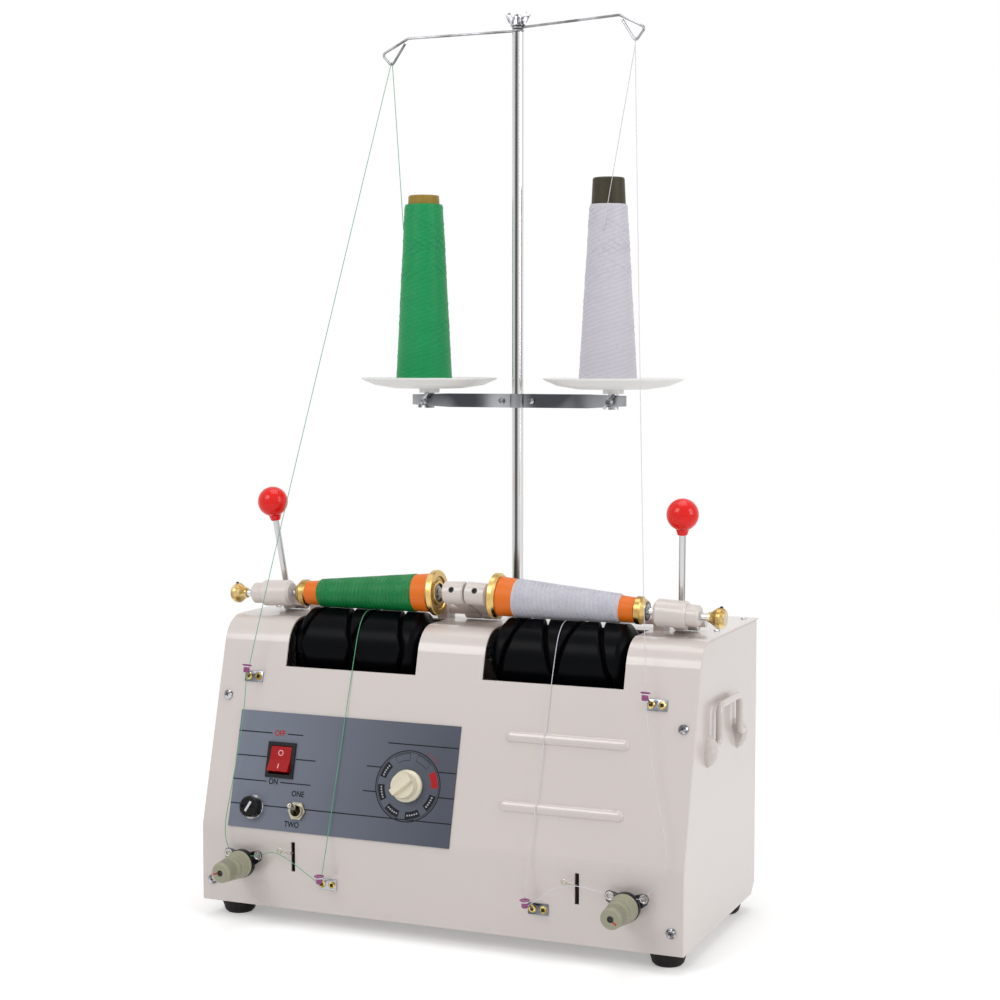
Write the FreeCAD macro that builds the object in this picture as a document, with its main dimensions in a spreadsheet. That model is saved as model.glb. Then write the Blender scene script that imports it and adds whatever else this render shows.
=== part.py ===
# Two-head yarn cone winder. Millimetres, +Z up, the viewer's right is +X and the front faces -Y.
# The origin is on the floor, under the middle of the whole machine.
import FreeCAD, Part
import math
import os
import re
import Sketcher

V = FreeCAD.Vector

SIZES = {
    # body, measured from its front lower edge
    "body_width": 420, "body_depth": 202, "body_height": 234, "foot_height": 14,
    "kink_height": 64, "slope_angle": 15, "kink_radius": 30, "bend_radius": 26, "skin": 1.5, "seam": 0.2,
    "cover_lip": 4, "tray_wall": 14, "corner_cut": 9,
    "foot_radius": 15, "foot_toe": 12.5, "foot_inset": 20, "foot_front": 26, "foot_back": 180,
    # drums and the windows that they show through
    "head_depth": 72.5, "drum_height": 212, "drum_radius": 30, "drum_start": 31.5,
    "drum_length": 116, "drum_chamfer": 8, "drum_hub": 9, "drum_rim": 8, "drum_recess": 12,
    "window_gap": 2, "window_low": 195.5, "window_back": 98,
    "shaft_radius": 6, "shaft_left": 160, "shaft_right": 185, "run_fit": 0.05,
    "bearing_radius": 11, "bearing_width": 7, "bracket_plate": 3,
    # drive
    "pulley_radius": 17, "motor_pulley_radius": 12, "pulley_width": 12, "flange_step": 2.5,
    "pulley_start": 168, "belt_gap": 0.4, "belt_thick": 1.8, "belt_width": 8,
    "motor_radius": 32, "motor_length": 96, "motor_depth": 130, "motor_height": 62,
    # winding heads, measured along their tilted axis from the middle of the machine
    "axis_height": 260.3, "axis_tilt": 2.67, "nip_gap": 0.4,
    "knuckle_start": 0.8, "knuckle_end": 19.7, "knuckle_radius": 9.5, "pin_radius": 3,
    "flange_start": 24.6, "flange_radius": 18.9, "flange_thick": 4.2, "head_bearing": 8,
    "cone_start": 31, "cone_end": 147, "cone_small": 9.9, "cone_wall": 1.3,
    "wind_start": 45, "wind_end": 135, "centre_radius": 11.3, "centre_end": 157,
    "spindle_radius": 3, "spindle_start": 143, "spindle_end": 216, "spindle_travel": 5.5,
    "travel_spare": 0.5, "barrel_end": 190, "barrel_radius": 11,
    "collar_end": 200, "collar_radius": 8.8, "knob_start": 207, "knob_end": 220.5, "knob_radius": 8.5,
    # cradle pivot, arms and lifting lever
    "pivot_depth": 108, "pivot_rise": 7.5, "pivot_radius": 4, "hub_radius": 7,
    "pivot_end": 194, "pillow_width": 9, "pillow_inner": 30, "pillow_outer": 152,
    "arm_width": 14, "outer_arm_start": 168, "outer_arm_width": 20,
    "lever_place": 178, "lever_depth": 93, "lever_rise": 10, "lever_radius": 2.6,
    "lever_length": 88, "lever_lean": 11, "lever_splay": 3.6, "lever_boss": 5.5, "ball_radius": 12.8,
    # thread stand
    "rod_depth": 182.5, "rod_radius": 5, "rod_top": 731.5, "stud_radius": 3, "stud_rise": 15,
    "bar_height": 410, "bar_width": 12, "bar_thick": 1.6, "bar_half": 100, "bar_clamp": 24,
    "tray_place": 86.5, "tray_radius": 60.2, "tray_flat": 29, "tray_rim": 435.5, "tray_floor": 427,
    "tray_boss": 9, "tray_boss_low": 422.4, "post_radius": 4.5,
    "eye_wire": 1.1, "eye_reach": 104, "eye_swing": 14,
    # panel controls, measured on the sloped panel: across from the middle, up from the kink
    "plate_left": -185.4, "plate_right": 16, "plate_low": 0.8, "plate_high": 97.6, "plate_thick": 1,
    "rocker_across": -142.6, "rocker_up": 58.3, "rocker_width": 25.7, "rocker_tall": 29.4,
    "toggle_across": -122, "toggle_up": 18.2, "fuse_across": -164, "fuse_up": 18,
    "dial_across": -25.2, "dial_up": 46.7, "dial_radius": 13, "dial_height": 15,
    "rib_start": 57.5, "rib_end": 156, "rib_low": 38.8, "rib_high": 93.3, "rib_width": 7,
    "screw_across": 200.5, "screw_up": 109, "screw_low": 18,
    # thread path on the front
    "guide_across": 177.8, "guide_up": 126, "low_guide_across": 92.4, "low_guide_up": 25,
    "guide_long": 17, "guide_tall": 9, "guide_thick": 1.2, "guide_screw": 4.6, "eye_lift": 5,
    "low_eye_lift": 3, "right_eye_shift": 5.9, "left_eye_shift": 0.5, "eye_ring": 2.7, "eye_ring_wire": 1.4,
    "eye_stand": 14, "slot_across": 124.3, "slot_low": 32, "slot_high": 56.5, "slot_width": 3.6,
    "tension_across": 167.2, "tension_up": 37, "tension_reach": 44.5, "eyelet_half": 13.5,
    "eyelet_lift": 7,
    # handles on the sides
    "handle_front": 74, "handle_back": 132, "handle_up": 150, "handle_rise": 31,
    "handle_wire": 2.8, "handle_out": 5.5, "handle_bend": 7, "lug_back": 13, "lug_tall": 13,
    "lug_out": 9, "lug_drop": 3,
    # small fittings
    "cover_screw": 2, "top_screw": 1.5, "top_screw_front": 116, "top_screw_back": 195,
    "foot_screw": 2.2, "rib_proud": 1.2, "bezel_high": 1.6, "toggle_bush": 5.6, "toggle_tilt": 14,
    "fuse_body": 6, "dial_bush": 3.6, "dial_shaft": 3, "dial_turn": 42, "motor_shaft": 4,
    "motor_end": 156, "gland_across": -150, "gland_up": 40, "gland_radius": 7,
    "vent_start": -68, "vent_step": 12, "vent_width": 5, "vent_low": 70, "vent_high": 130,
    "bar_gap": 0.3, "bar_screw": 14, "pin_top": 500, "supply_shift": 5, "tube_foot": 22.6, "tube_top": 13.6,
    "tube_wall": 1.6, "left_tube_top": 596, "right_tube_top": 605.5, "left_thread_top": 588,
    "right_thread_top": 583, "left_thread_foot": 25, "left_thread_head": 17.1,
    "right_thread_foot": 25.2, "right_thread_head": 16.4, "eye_bend": 2.6,
    "tension_stud": 2.2, "disc_radius": 11.8, "housing_radius": 10.6, "tension_knob": 9.5,
    "thread_radius": 0.3, "drop_up": 44, "drop_back": 30, "drop_wire": 0.8, "drop_pin": 1.2,
}

doc = FreeCAD.newDocument("ConeWinder")
sheet = doc.addObject("Spreadsheet::Sheet", "Sizes")
sheet.set("A1", "Size")
for row, (name, size) in enumerate(SIZES.items(), start=2):
    sheet.set(f"A{row}", name)
    sheet.set(f"B{row}", str(size))
    sheet.setAlias(f"B{row}", name)
doc.recompute()

nodes = []


def bind(text):
    """Names of sizes become references to the sheet; function names stay."""
    return re.sub(r"\b([a-z][a-z_]*)\b(?!\()", r"Sizes.\1", str(text))


def value(text):
    return float(sheet.evalExpression(str(text)))


def at(across, back, up, axis=(1, 0, 0), angle=0):
    """A placement, as the text of an expression."""
    spin = f"rotation(vector({axis[0]};{axis[1]};{axis[2]});{angle})"
    return f"placement(vector({across};{back};{up});{spin})"


# frames that the pieces are laid out in
frontY = "((tension_reach-rod_depth-post_radius-tray_radius)/2)"
BODY = at(0, frontY, "foot_height")
LIP = at(0, frontY, "foot_height", angle=90)
PANEL = at(0, frontY, "foot_height+kink_height", angle="90-slope_angle")
TOP = at(0, frontY, "foot_height+body_height")
AXIS = at(0, f"{frontY}+head_depth", "foot_height+axis_height", (0, 1, 0), "axis_tilt")
PIVOT = at(0, f"{frontY}+pivot_depth", "foot_height+body_height+pivot_rise")


def settle(piece, frame, place=None):
    text = frame if place is None else f"{frame}*{place}"
    piece.setExpression("Placement", bind(text))
    return piece


def block(frame, low, high, kind="Part::Box"):
    """A box between two corners given in a frame."""
    piece = doc.addObject(kind, "Block")
    for side, start, end in zip(("Length", "Width", "Height"), low, high):
        piece.setExpression(side, bind(f"({end})-({start})"))
    return settle(piece, frame, at(*low))


TURN = {"x": ((0, 1, 0), 90), "y": ((1, 0, 0), -90), "z": ((0, 0, 1), 0)}


def rod(frame, start, along, radius, length):
    """A cylinder from a point along an axis of its frame."""
    piece = doc.addObject("Part::Cylinder", "Rod")
    piece.setExpression("Radius", bind(radius))
    piece.setExpression("Height", bind(length))
    return settle(piece, frame, at(*start, *TURN[along]))


def cone(frame, start, along, radius, end_radius, length):
    piece = doc.addObject("Part::Cone", "Cone")
    piece.setExpression("Radius1", bind(radius))
    piece.setExpression("Radius2", bind(end_radius))
    piece.setExpression("Height", bind(length))
    return settle(piece, frame, at(*start, *TURN[along]))


def ball(frame, centre, radius):
    piece = doc.addObject("Part::Sphere", "Ball")
    piece.setExpression("Radius", bind(radius))
    return settle(piece, frame, at(*centre))


def ring(frame, centre, along, radius, wire):
    piece = doc.addObject("Part::Torus", "Ring")
    piece.setExpression("Radius1", bind(radius))
    piece.setExpression("Radius2", bind(wire))
    return settle(piece, frame, at(*centre, *TURN[along]))


def outline(body, role, points):
    """A closed outline of straight lines whose corners are bound to the sheet."""
    sketch = body.newObject("Sketcher::SketchObject", "Outline")
    plane = [item for item in body.Origin.OriginFeatures if item.Role == role][0]
    sketch.AttachmentSupport = [(plane, "")]
    sketch.MapMode = "FlatFace"
    spots = [(value(a), value(b)) for a, b in points]
    count = len(points)
    for index in range(count):
        start = spots[index]
        end = spots[(index + 1) % count]
        sketch.addGeometry(Part.LineSegment(V(*start, 0), V(*end, 0)))
    for index in range(count):
        sketch.addConstraint(Sketcher.Constraint("Coincident", index, 2, (index + 1) % count, 1))
    for index, pair in enumerate(points):
        for kind, text, spot in zip(("DistanceX", "DistanceY"), pair, spots[index]):
            number = sketch.addConstraint(Sketcher.Constraint(kind, -1, 1, index, 1, spot))
            sketch.setExpression(f"Constraints[{number}]", bind(text))
    return sketch


def turned(frame, points, place=None):
    """A turned piece: points are (along the axis, radius), and the axis is the frame's X."""
    body = doc.addObject("PartDesign::Body", "Turned")
    sketch = outline(body, "XY_Plane", points)
    feature = body.newObject("PartDesign::Revolution", "Turn")
    feature.Profile = sketch
    feature.ReferenceAxis = (sketch, ["H_Axis"])
    feature.Angle = 360
    body.Tip = feature
    return settle(body, frame, place)


def upright(frame, points, place=None):
    """A turned piece: points are (radius, height), and the axis is the frame's Z."""
    body = doc.addObject("PartDesign::Body", "Turned")
    sketch = outline(body, "XZ_Plane", points)
    feature = body.newObject("PartDesign::Revolution", "Turn")
    feature.Profile = sketch
    feature.ReferenceAxis = (sketch, ["V_Axis"])
    feature.Angle = 360
    body.Tip = feature
    return settle(body, frame, place)


def slab(frame, role, points, length, both_ways=False, place=None):
    """A flat outline given a thickness: YZ_Plane goes along +X, XY_Plane along +Z."""
    body = doc.addObject("PartDesign::Body", "Slab")
    sketch = outline(body, role, points)
    feature = body.newObject("PartDesign::Pad", "Pad")
    feature.Profile = sketch
    feature.Midplane = both_ways
    feature.setExpression("Length", bind(length))
    body.Tip = feature
    doc.recompute()
    return settle(body, frame, place)


def rounded(body, edge_test, radius):
    """Rounds the edges of a body's last feature that pass a test in the body's own axes."""
    doc.recompute()
    base = body.Tip
    names = [f"Edge{i}" for i, edge in enumerate(base.Shape.Edges, 1) if edge_test(edge)]
    fillet = body.newObject("PartDesign::Fillet", "Round")
    fillet.Base = (base, names)
    fillet.setExpression("Radius", bind(radius))
    body.Tip = fillet
    return body


def fuse(*pieces, refine=True):
    piece = doc.addObject("Part::MultiFuse", "Fuse")
    piece.Shapes = list(pieces)
    piece.Refine = refine
    return piece


def cut(base, *tools):
    """The base with each tool taken away in turn."""
    for tool in tools:
        piece = doc.addObject("Part::Cut", "Cut")
        piece.Base = base
        piece.Tool = tool
        base = piece
    return base


def group(*pieces):
    """Several equal pieces that share one node."""
    piece = doc.addObject("Part::Compound", "Group")
    piece.Links = list(pieces)
    return piece


def keep(label, piece):
    piece.Label = label
    nodes.append(piece)
    return piece


def mirror(piece):
    """The same piece on the other side of the machine."""
    twin = doc.addObject("Part::Mirroring", "Twin")
    twin.Source = piece
    twin.Normal = (1, 0, 0)
    return twin


def keep_pair(label, piece):
    keep(f"{label}_right", piece)
    keep(f"{label}_left", mirror(piece))


def bent_wire(label, points, radius, bend):
    """A round wire along straight runs joined by arcs."""
    path = rounded_path([V(*point) for point in points], bend)
    start = (V(*points[1]) - V(*points[0])).normalize()
    section = Part.Wire([Part.makeCircle(radius, V(*points[0]), start)])
    piece = doc.addObject("Part::Feature", label)
    piece.Shape = path.makePipeShell([section], True, True)
    return piece


def rounded_path(points, bend):
    """Straight runs with a tangent arc at each inner point; bend is a radius or a share."""
    edges = []
    last = points[0]
    for before, corner, after in zip(points, points[1:], points[2:]):
        back = (before - corner).normalize()
        ahead = (after - corner).normalize()
        half = back.getAngle(ahead) / 2
        reach = bend / math.tan(half)
        start = corner + back * reach
        end = corner + ahead * reach
        middle = corner + (back + ahead).normalize() * (bend / math.sin(half) - bend)
        edges.append(Part.LineSegment(last, start).toShape())
        edges.append(Part.Arc(start, middle, end).toShape())
        last = end
    edges.append(Part.LineSegment(last, points[-1]).toShape())
    return Part.Wire(edges)


def edge_at(depth, height):
    """Picks the edges along X at a depth and a height of a body's own frame."""
    spot = (value(depth), value(height))

    def test(edge):
        ends = edge.Vertexes
        return len(ends) == 2 and all(math.dist((end.Y, end.Z), spot) < 0.01 for end in ends)
    return test


def slope_in(inset, height):
    """How far back the slope is at a height, for a face inset from the cover's outside."""
    return f"(({height})-kink_height)*tan(slope_angle)+({inset})/cos(slope_angle)"


def cover_outline(inset, foot):
    """The outline of the front and top, inset from the outside, from the foot to the back."""
    top = f"body_height-({inset})"
    return [(inset, foot),
            (inset, f"kink_height-({inset})*tan(slope_angle/2)"),
            (slope_in(inset, top), top)]


windowStart = "drum_start-window_gap"
windowEnd = "drum_start+drum_length+window_gap"
inside = "(skin+seam)"


# ---- body ----
def front_cover():
    outer = cover_outline("0", "0.5")
    inner = cover_outline("skin", "0.5")
    back = "body_depth+cover_lip"
    points = outer + [(back, "body_height"), (back, "body_height-skin")] + inner[::-1]
    sheet_metal = slab(BODY, "YZ_Plane", points, "body_width", both_ways=True)
    rounded(sheet_metal, edge_at(*outer[2]), "bend_radius")
    rounded(sheet_metal, edge_at(*inner[2]), "bend_radius-skin")
    rounded(sheet_metal, edge_at(*outer[1]), "kink_radius")
    rounded(sheet_metal, edge_at(*inner[1]), "kink_radius-skin")
    holes = []
    for side in ("", "-"):
        near, far = (windowStart, windowEnd) if side == "" else (f"-({windowEnd})", f"-({windowStart})")
        holes.append(block(BODY, (near, -1, "window_low"), (far, "window_back", "body_height+5")))
        holes.append(block(LIP, (f"{side}slot_across-slot_width/2", "slot_low", -5),
                           (f"{side}slot_across+slot_width/2", "slot_high", 5)))
        holes.append(rod(PANEL, (f"{side}screw_across", "screw_up", -5), "z", "cover_screw", 10))
        holes.append(rod(LIP, (f"{side}screw_across", "screw_low", -5), "z", "cover_screw", 10))
        holes.append(rod(LIP, (f"{side}tension_across", "tension_up", -5), "z", "tension_stud", 10))
        for depth in ("top_screw_front", "top_screw_back"):
            holes.append(rod(TOP, (f"{side}screw_across", depth, -5), "z", "top_screw", 10))
    holes += panel_holes()
    holes.append(rod(TOP, (0, "rod_depth", -5), "z", "rod_radius", 10))
    ribs = [block(PANEL, ("rib_start", f"{up}-rib_width/2", "-skin"),
                  ("rib_end", f"{up}+rib_width/2", "rib_proud")) for up in ("rib_low", "rib_high")]
    keep("front_cover", fuse(cut(sheet_metal, *holes), *ribs))


def panel_holes():
    return [block(PANEL, ("rocker_across-rocker_width/2+2", "rocker_up-rocker_tall/2+2", -5),
                  ("rocker_across+rocker_width/2-2", "rocker_up+rocker_tall/2-2", 5)),
            rod(PANEL, ("toggle_across", "toggle_up", -5), "z", "toggle_bush", 10),
            rod(PANEL, ("fuse_across", "fuse_up", -5), "z", "fuse_body", 10),
            rod(PANEL, ("dial_across", "dial_up", -5), "z", "dial_bush", 10)]


def side_panels():
    profile = cover_outline(inside, "0")
    points = [profile[0], profile[1], profile[2], ("body_depth", f"body_height-{inside}"),
              ("body_depth", "corner_cut"), ("body_depth-corner_cut", "0")]
    panel = slab(BODY, "YZ_Plane", points, "skin", place=at("body_width/2-skin", 0, 0))
    rounded(panel, edge_at(*profile[2]), f"bend_radius-{inside}")
    rounded(panel, edge_at(*profile[1]), f"kink_radius-{inside}")
    half = [(0, "-lug_tall"), ("lug_out*0.55", "-lug_tall*0.8"), ("lug_out*0.9", "-lug_tall*0.42")]
    points = half + [("lug_out", 0)] + [(out, up.lstrip("-")) for out, up in half[::-1]]
    lugs = [upright(BODY, points, at("body_width/2", depth, "handle_up-lug_drop"))
            for depth in ("handle_front-lug_back", "handle_back+lug_back")]
    inward = block(BODY, ("body_width/2-20", 0, 0), ("body_width/2-skin/2", 200, 200))
    shell = cut(fuse(*lugs), inward)
    bore = rod(BODY, ("body_width/2+handle_out", "handle_front-lug_back-0.5", "handle_up"), "y",
               "handle_wire+run_fit", "handle_back-handle_front+2*lug_back+1")
    hollow = block(BODY, ("body_width/2", "handle_front-handle_bend+0.4", "handle_up-20"),
                   ("body_width/2+20", "handle_back+handle_bend-0.4", "handle_up+20"))
    right = fuse(panel, cut(shell, bore, hollow))
    keep("side_panels", group(right, mirror(right)))


def back_panel():
    half = f"body_width/2-{inside}"
    sheet_metal = block(BODY, (f"-({half})", "body_depth-skin", "corner_cut"),
                        (half, "body_depth", f"body_height-{inside}"))
    holes = [rod(BODY, ("gland_across", "body_depth-5", "gland_up"), "y", "gland_radius", 10)]
    for index in range(12):
        across = f"vent_start+{index}*vent_step"
        holes.append(block(BODY, (across, "body_depth-5", "vent_low"),
                           (f"{across}+vent_width", "body_depth+5", "vent_high")))
    keep("back_panel", cut(sheet_metal, *holes))


def base_tray():
    half = f"body_width/2-{inside}"
    low = (f"-({half})", inside, 0)
    high = (half, f"body_depth-skin-seam", "tray_wall")
    inner = block(BODY, (f"skin-({half})", f"{inside}+skin", "skin"),
                  (f"{half}-skin", "body_depth-2*skin-seam", "tray_wall+1"))
    holes = [rod(BODY, (x, y, -1), "z", "foot_screw", 5) for x, y in foot_places()]
    keep("base_tray", cut(block(BODY, low, high), inner, *holes))


def foot_places():
    across = "body_width/2-foot_inset"
    return [(x, y) for x in (across, f"-({across})") for y in ("foot_front", "foot_back")]


def feet():
    parts = []
    for x, y in foot_places():
        points = [("foot_screw", "-foot_height+4"), ("foot_screw+2.2", "-foot_height+4"),
                  ("foot_screw+2.2", "-foot_height"), ("foot_toe-2", "-foot_height"),
                  ("foot_toe", "-foot_height+2"), ("foot_radius", "-4"), ("foot_radius", 0),
                  ("foot_screw", 0)]
        parts.append(upright(BODY, points, at(x, y, 0)))
    keep("feet", group(*parts))


def pan_screw(frame, x, y, head, high, shank, deep):
    """A pan-head screw that stands on a face at zero height of its frame."""
    points = [(0, f"-({deep})"), (shank, f"-({deep})"), (shank, 0), (head, 0), (head, f"{high}/2"),
              (f"{head}*0.72", high), (0, high)]
    return upright(frame, points, at(x, y, 0))


def cover_screws():
    screws = []
    for side in ("", "-"):
        across = f"{side}screw_across"
        screws.append(pan_screw(PANEL, across, "screw_up", 4, 2.6, "cover_screw", "skin+6"))
        screws.append(pan_screw(LIP, across, "screw_low", 4, 2.6, "cover_screw", "skin+4"))
        for depth in ("top_screw_front", "top_screw_back"):
            screws.append(pan_screw(TOP, across, depth, 2.6, 1.2, "top_screw", "skin+4"))
    keep("cover_screws", group(*screws))


def cord_gland():
    collar = rod(BODY, ("gland_across", "body_depth", "gland_up"), "y", "gland_radius+2.5", 3)
    neck = cone(BODY, ("gland_across", "body_depth+3", "gland_up"), "y", "gland_radius", "gland_radius-2", 9)
    inner = rod(BODY, ("gland_across", "body_depth-4", "gland_up"), "y", "gland_radius", 4)
    bore = rod(BODY, ("gland_across", "body_depth-6", "gland_up"), "y", 3.2, 30)
    keep("cord_gland", cut(fuse(collar, neck, inner), bore))


# ---- panel ----
def faceplate():
    plate = block(PANEL, ("plate_left", "plate_low", 0), ("plate_right", "plate_high", "plate_thick"))
    keep("faceplate", cut(plate, *panel_holes()))


def rocker_switch():
    half = ("rocker_width/2", "rocker_tall/2")
    centre = at("rocker_across", "rocker_up", 0)
    frame = f"{PANEL}*{centre}"
    bezel = block(frame, (f"-{half[0]}", f"-{half[1]}", "plate_thick"),
                  (half[0], half[1], "plate_thick+bezel_high"))
    body = block(frame, (f"2-{half[0]}", f"2-{half[1]}", -24), (f"{half[0]}-2", f"{half[1]}-2", "plate_thick"))
    well = block(frame, (f"3-{half[0]}", f"3-{half[1]}", -10), (f"{half[0]}-3", f"{half[1]}-3", 8))
    keep("rocker_housing", cut(fuse(bezel, body), well))
    reach = "(rocker_tall/2-3.6)"
    points = [(f"0.3-{reach}", -4), (reach, -4), (reach, 2.6), (0, 3.4), (f"1.7-{reach}", 7)]
    button = slab(frame, "YZ_Plane", points, "rocker_width-6.8", both_ways=True)
    keep("rocker_button", button)


def panel_fittings():
    nut = doc.addObject("Part::Prism", "Nut")
    nut.Polygon = 6
    nut.setExpression("Circumradius", bind("toggle_bush+2.4"))
    nut.Height = 2.2
    settle(nut, PANEL, at("toggle_across", "toggle_up", "plate_thick"))
    place = at("toggle_across", "toggle_up", 0)
    bush = rod(f"{PANEL}*{place}", (0, 0, -6), "z", "toggle_bush", 11)
    case = block(f"{PANEL}*{place}", (-6.5, -6.5, -20), (6.5, 6.5, "-skin"))
    mouth = cone(f"{PANEL}*{place}", (0, 0, -1), "z", 2.4, 5, 7)
    throat = rod(f"{PANEL}*{place}", (0, 0, -6), "z", 2.4, 5.1)
    toggle = cut(fuse(nut, bush, case), mouth, throat)
    place = at("fuse_across", "fuse_up", 0)
    cap = upright(PANEL, [(0, -30), ("fuse_body", -30), ("fuse_body", "plate_thick"),
                          ("fuse_body+2.5", "plate_thick"), ("fuse_body+2.5", 8.4),
                          ("fuse_body+1.5", 9.4), (0, 9.4)], place)
    slot = block(f"{PANEL}*{place}", (-6, -1, 8), (6, 1, 10))
    place = at("dial_across", "dial_up", 0)
    pot = upright(PANEL, [("dial_shaft+run_fit", -15), (9, -15), (9, "-skin"), ("dial_bush", "-skin"),
                          ("dial_bush", "plate_thick"), ("dial_shaft+run_fit", "plate_thick")], place)
    keep("panel_fittings", group(toggle, cut(cap, slot), pot))


def toggle_lever():
    frame = f"{PANEL}*{at('toggle_across', 'toggle_up', 0, angle='-toggle_tilt')}"
    stick = cone(frame, (0, 0, -3), "z", 1.5, 2.5, 19)
    keep("toggle_lever", fuse(stick, ball(frame, (0, 0, 16), 2.5)))


def speed_knob():
    place = at("dial_across", "dial_up", "plate_thick+0.4")
    frame = f"{PANEL}*{place}"
    shaft = rod(PANEL, ("dial_across", "dial_up", -12), "z", "dial_shaft", "plate_thick+14")
    skirt = upright(frame, [(0, 0), ("dial_radius", 0), ("dial_radius", 3), ("dial_radius-2", 5),
                            ("dial_radius-3", "dial_height-4"), (0, "dial_height-4")])
    turned_by = at(0, 0, 0, (0, 0, 1), "dial_turn")
    grip = block(f"{frame}*{turned_by}", ("3-dial_radius", -2.6, 3), ("dial_radius-3", 2.6, "dial_height"))
    keep("speed_knob", fuse(shaft, skirt, grip))


# ---- drums and drive ----
def drums():
    rim = "drum_radius-drum_rim"
    outer = "drum_start+drum_length"
    low = "drum_radius-drum_chamfer"
    points = [("drum_start", "shaft_radius"), ("drum_start", "drum_hub"),
              ("drum_start+drum_recess", "drum_hub"), (f"drum_start+drum_recess", f"{rim}-3"),
              ("drum_start", f"{rim}-3"), ("drum_start", low), ("drum_start+drum_chamfer", "drum_radius"),
              (f"{outer}-drum_chamfer", "drum_radius"), (outer, low), (outer, f"{rim}-3"),
              (f"{outer}-drum_recess", f"{rim}-3"), (f"{outer}-drum_recess", "drum_hub"),
              (outer, "drum_hub"), (outer, "shaft_radius")]
    keep_pair("drum", turned(DRUM, points))
    keep("drum_shaft", rod(DRUM, ("-shaft_left", 0, 0), "x", "shaft_radius", "shaft_left+shaft_right"))
    points = [("pulley_start", "shaft_radius"), ("pulley_start", "pulley_radius+flange_step"),
              ("pulley_start+1.5", "pulley_radius+flange_step"), ("pulley_start+1.5", "pulley_radius"),
              ("pulley_start+pulley_width-1.5", "pulley_radius"),
              ("pulley_start+pulley_width-1.5", "pulley_radius+flange_step"),
              ("pulley_start+pulley_width", "pulley_radius+flange_step"),
              ("pulley_start+pulley_width", "shaft_radius")]
    keep("driven_pulley", turned(DRUM, points))


def inner_brackets():
    plates = []
    outer = "drum_start+drum_length+window_gap"
    for across in (f"-({outer})-bracket_plate", "-bracket_plate/2", outer):
        low = (across, "head_depth-20", "skin")
        high = (f"{across}+bracket_plate", "head_depth+20", "drum_height+bearing_radius+3")
        middle = f"{across}+bracket_plate/2-bearing_width/2"
        hole = rod(DRUM, (middle, 0, 0), "x", "bearing_radius", "bearing_width")
        plates.append(cut(block(BODY, low, high), hole))
        points = [(0, "shaft_radius+run_fit"), (0, "bearing_radius"), ("bearing_width", "bearing_radius"),
                  ("bearing_width", "shaft_radius+run_fit")]
        plates.append(turned(DRUM, points, at(middle, 0, 0)))
    reach = "motor_radius+6"
    plate = block(MOTOR, ("motor_end", f"-({reach})", "skin-motor_height"),
                  ("motor_end+bracket_plate", reach, reach))
    plates.append(cut(plate, rod(MOTOR, ("motor_end-1", 0, 0), "x", 8, "bracket_plate+2")))
    keep("inner_brackets", group(*plates, *drop_brackets()))


def motor():
    points = [("motor_end-motor_length", "motor_shaft+run_fit"), ("motor_end-motor_length", "motor_radius-3"),
              ("motor_end-motor_length+3", "motor_radius"), ("motor_end-3", "motor_radius"),
              ("motor_end", "motor_radius-3"), ("motor_end", 8), ("motor_end+bracket_plate", 8),
              ("motor_end+bracket_plate", "motor_shaft+run_fit")]
    keep("motor", turned(MOTOR, points))
    start = "motor_end-motor_length+4"
    shaft = rod(MOTOR, (start, 0, 0), "x", "motor_shaft", f"pulley_start+pulley_width+2-({start})")
    points = [("pulley_start", 0), ("pulley_start", "motor_pulley_radius+flange_step"),
              ("pulley_start+1.5", "motor_pulley_radius+flange_step"),
              ("pulley_start+1.5", "motor_pulley_radius"),
              ("pulley_start+pulley_width-1.5", "motor_pulley_radius"),
              ("pulley_start+pulley_width-1.5", "motor_pulley_radius+flange_step"),
              ("pulley_start+pulley_width", "motor_pulley_radius+flange_step"),
              ("pulley_start+pulley_width", 0)]
    keep("motor_pulley", fuse(shaft, turned(MOTOR, points)))


def drive_belt():
    """An open belt: two arcs joined by the pulleys' common tangents."""
    top = V(0, value(f"{frontY}+head_depth"), value("foot_height+drum_height"))
    low = V(0, value(f"{frontY}+motor_depth"), value("foot_height+motor_height"))
    faces = []
    for extra in (value("belt_gap+belt_thick"), value("belt_gap")):
        large = value("pulley_radius") + extra
        small = value("motor_pulley_radius") + extra
        line = low - top
        lean = math.acos((large - small) / line.Length)
        heading = math.atan2(line.z, line.y)
        spots = {}
        for key, centre, radius in (("top", top, large), ("low", low, small)):
            for side in (1, -1):
                turn = heading + side * lean
                spots[key, side] = centre + V(0, math.cos(turn), math.sin(turn)) * radius
        far = {"top": top - line.normalize() * large, "low": low + line.normalize() * small}
        edges = [Part.Arc(spots["top", 1], far["top"], spots["top", -1]).toShape(),
                 Part.LineSegment(spots["top", -1], spots["low", -1]).toShape(),
                 Part.Arc(spots["low", -1], far["low"], spots["low", 1]).toShape(),
                 Part.LineSegment(spots["low", 1], spots["top", 1]).toShape()]
        faces.append(Part.Face(Part.Wire(edges)))
    width = value("belt_width")
    piece = doc.addObject("Part::Feature", "Belt")
    piece.Shape = faces[0].cut(faces[1]).extrude(V(width, 0, 0))
    piece.Placement = FreeCAD.Placement(V(value("pulley_start+pulley_width/2-belt_width/2"), 0, 0),
                                        FreeCAD.Rotation())
    keep("drive_belt", piece)


barrelStart = "(centre_end+spindle_travel+travel_spare)"


# ---- winding heads (right side; the left ones are their mirror twins) ----
def line_radius(along):
    """Radius at which a cone on the tilted axis has its lowest line level, just over the drum."""
    drop = "axis_height-drum_height-drum_radius-nip_gap"
    return f"(({drop})-({along})*sin(axis_tilt))/cos(axis_tilt)"


def tube_radius(along):
    """Outside of the plastic cone at a place on the axis."""
    large = f"({line_radius('cone_start')}-0.3)"
    share = f"(({along})-cone_start)/(cone_end-cone_start)"
    return f"({large}+(cone_small-{large})*{share})"


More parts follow.
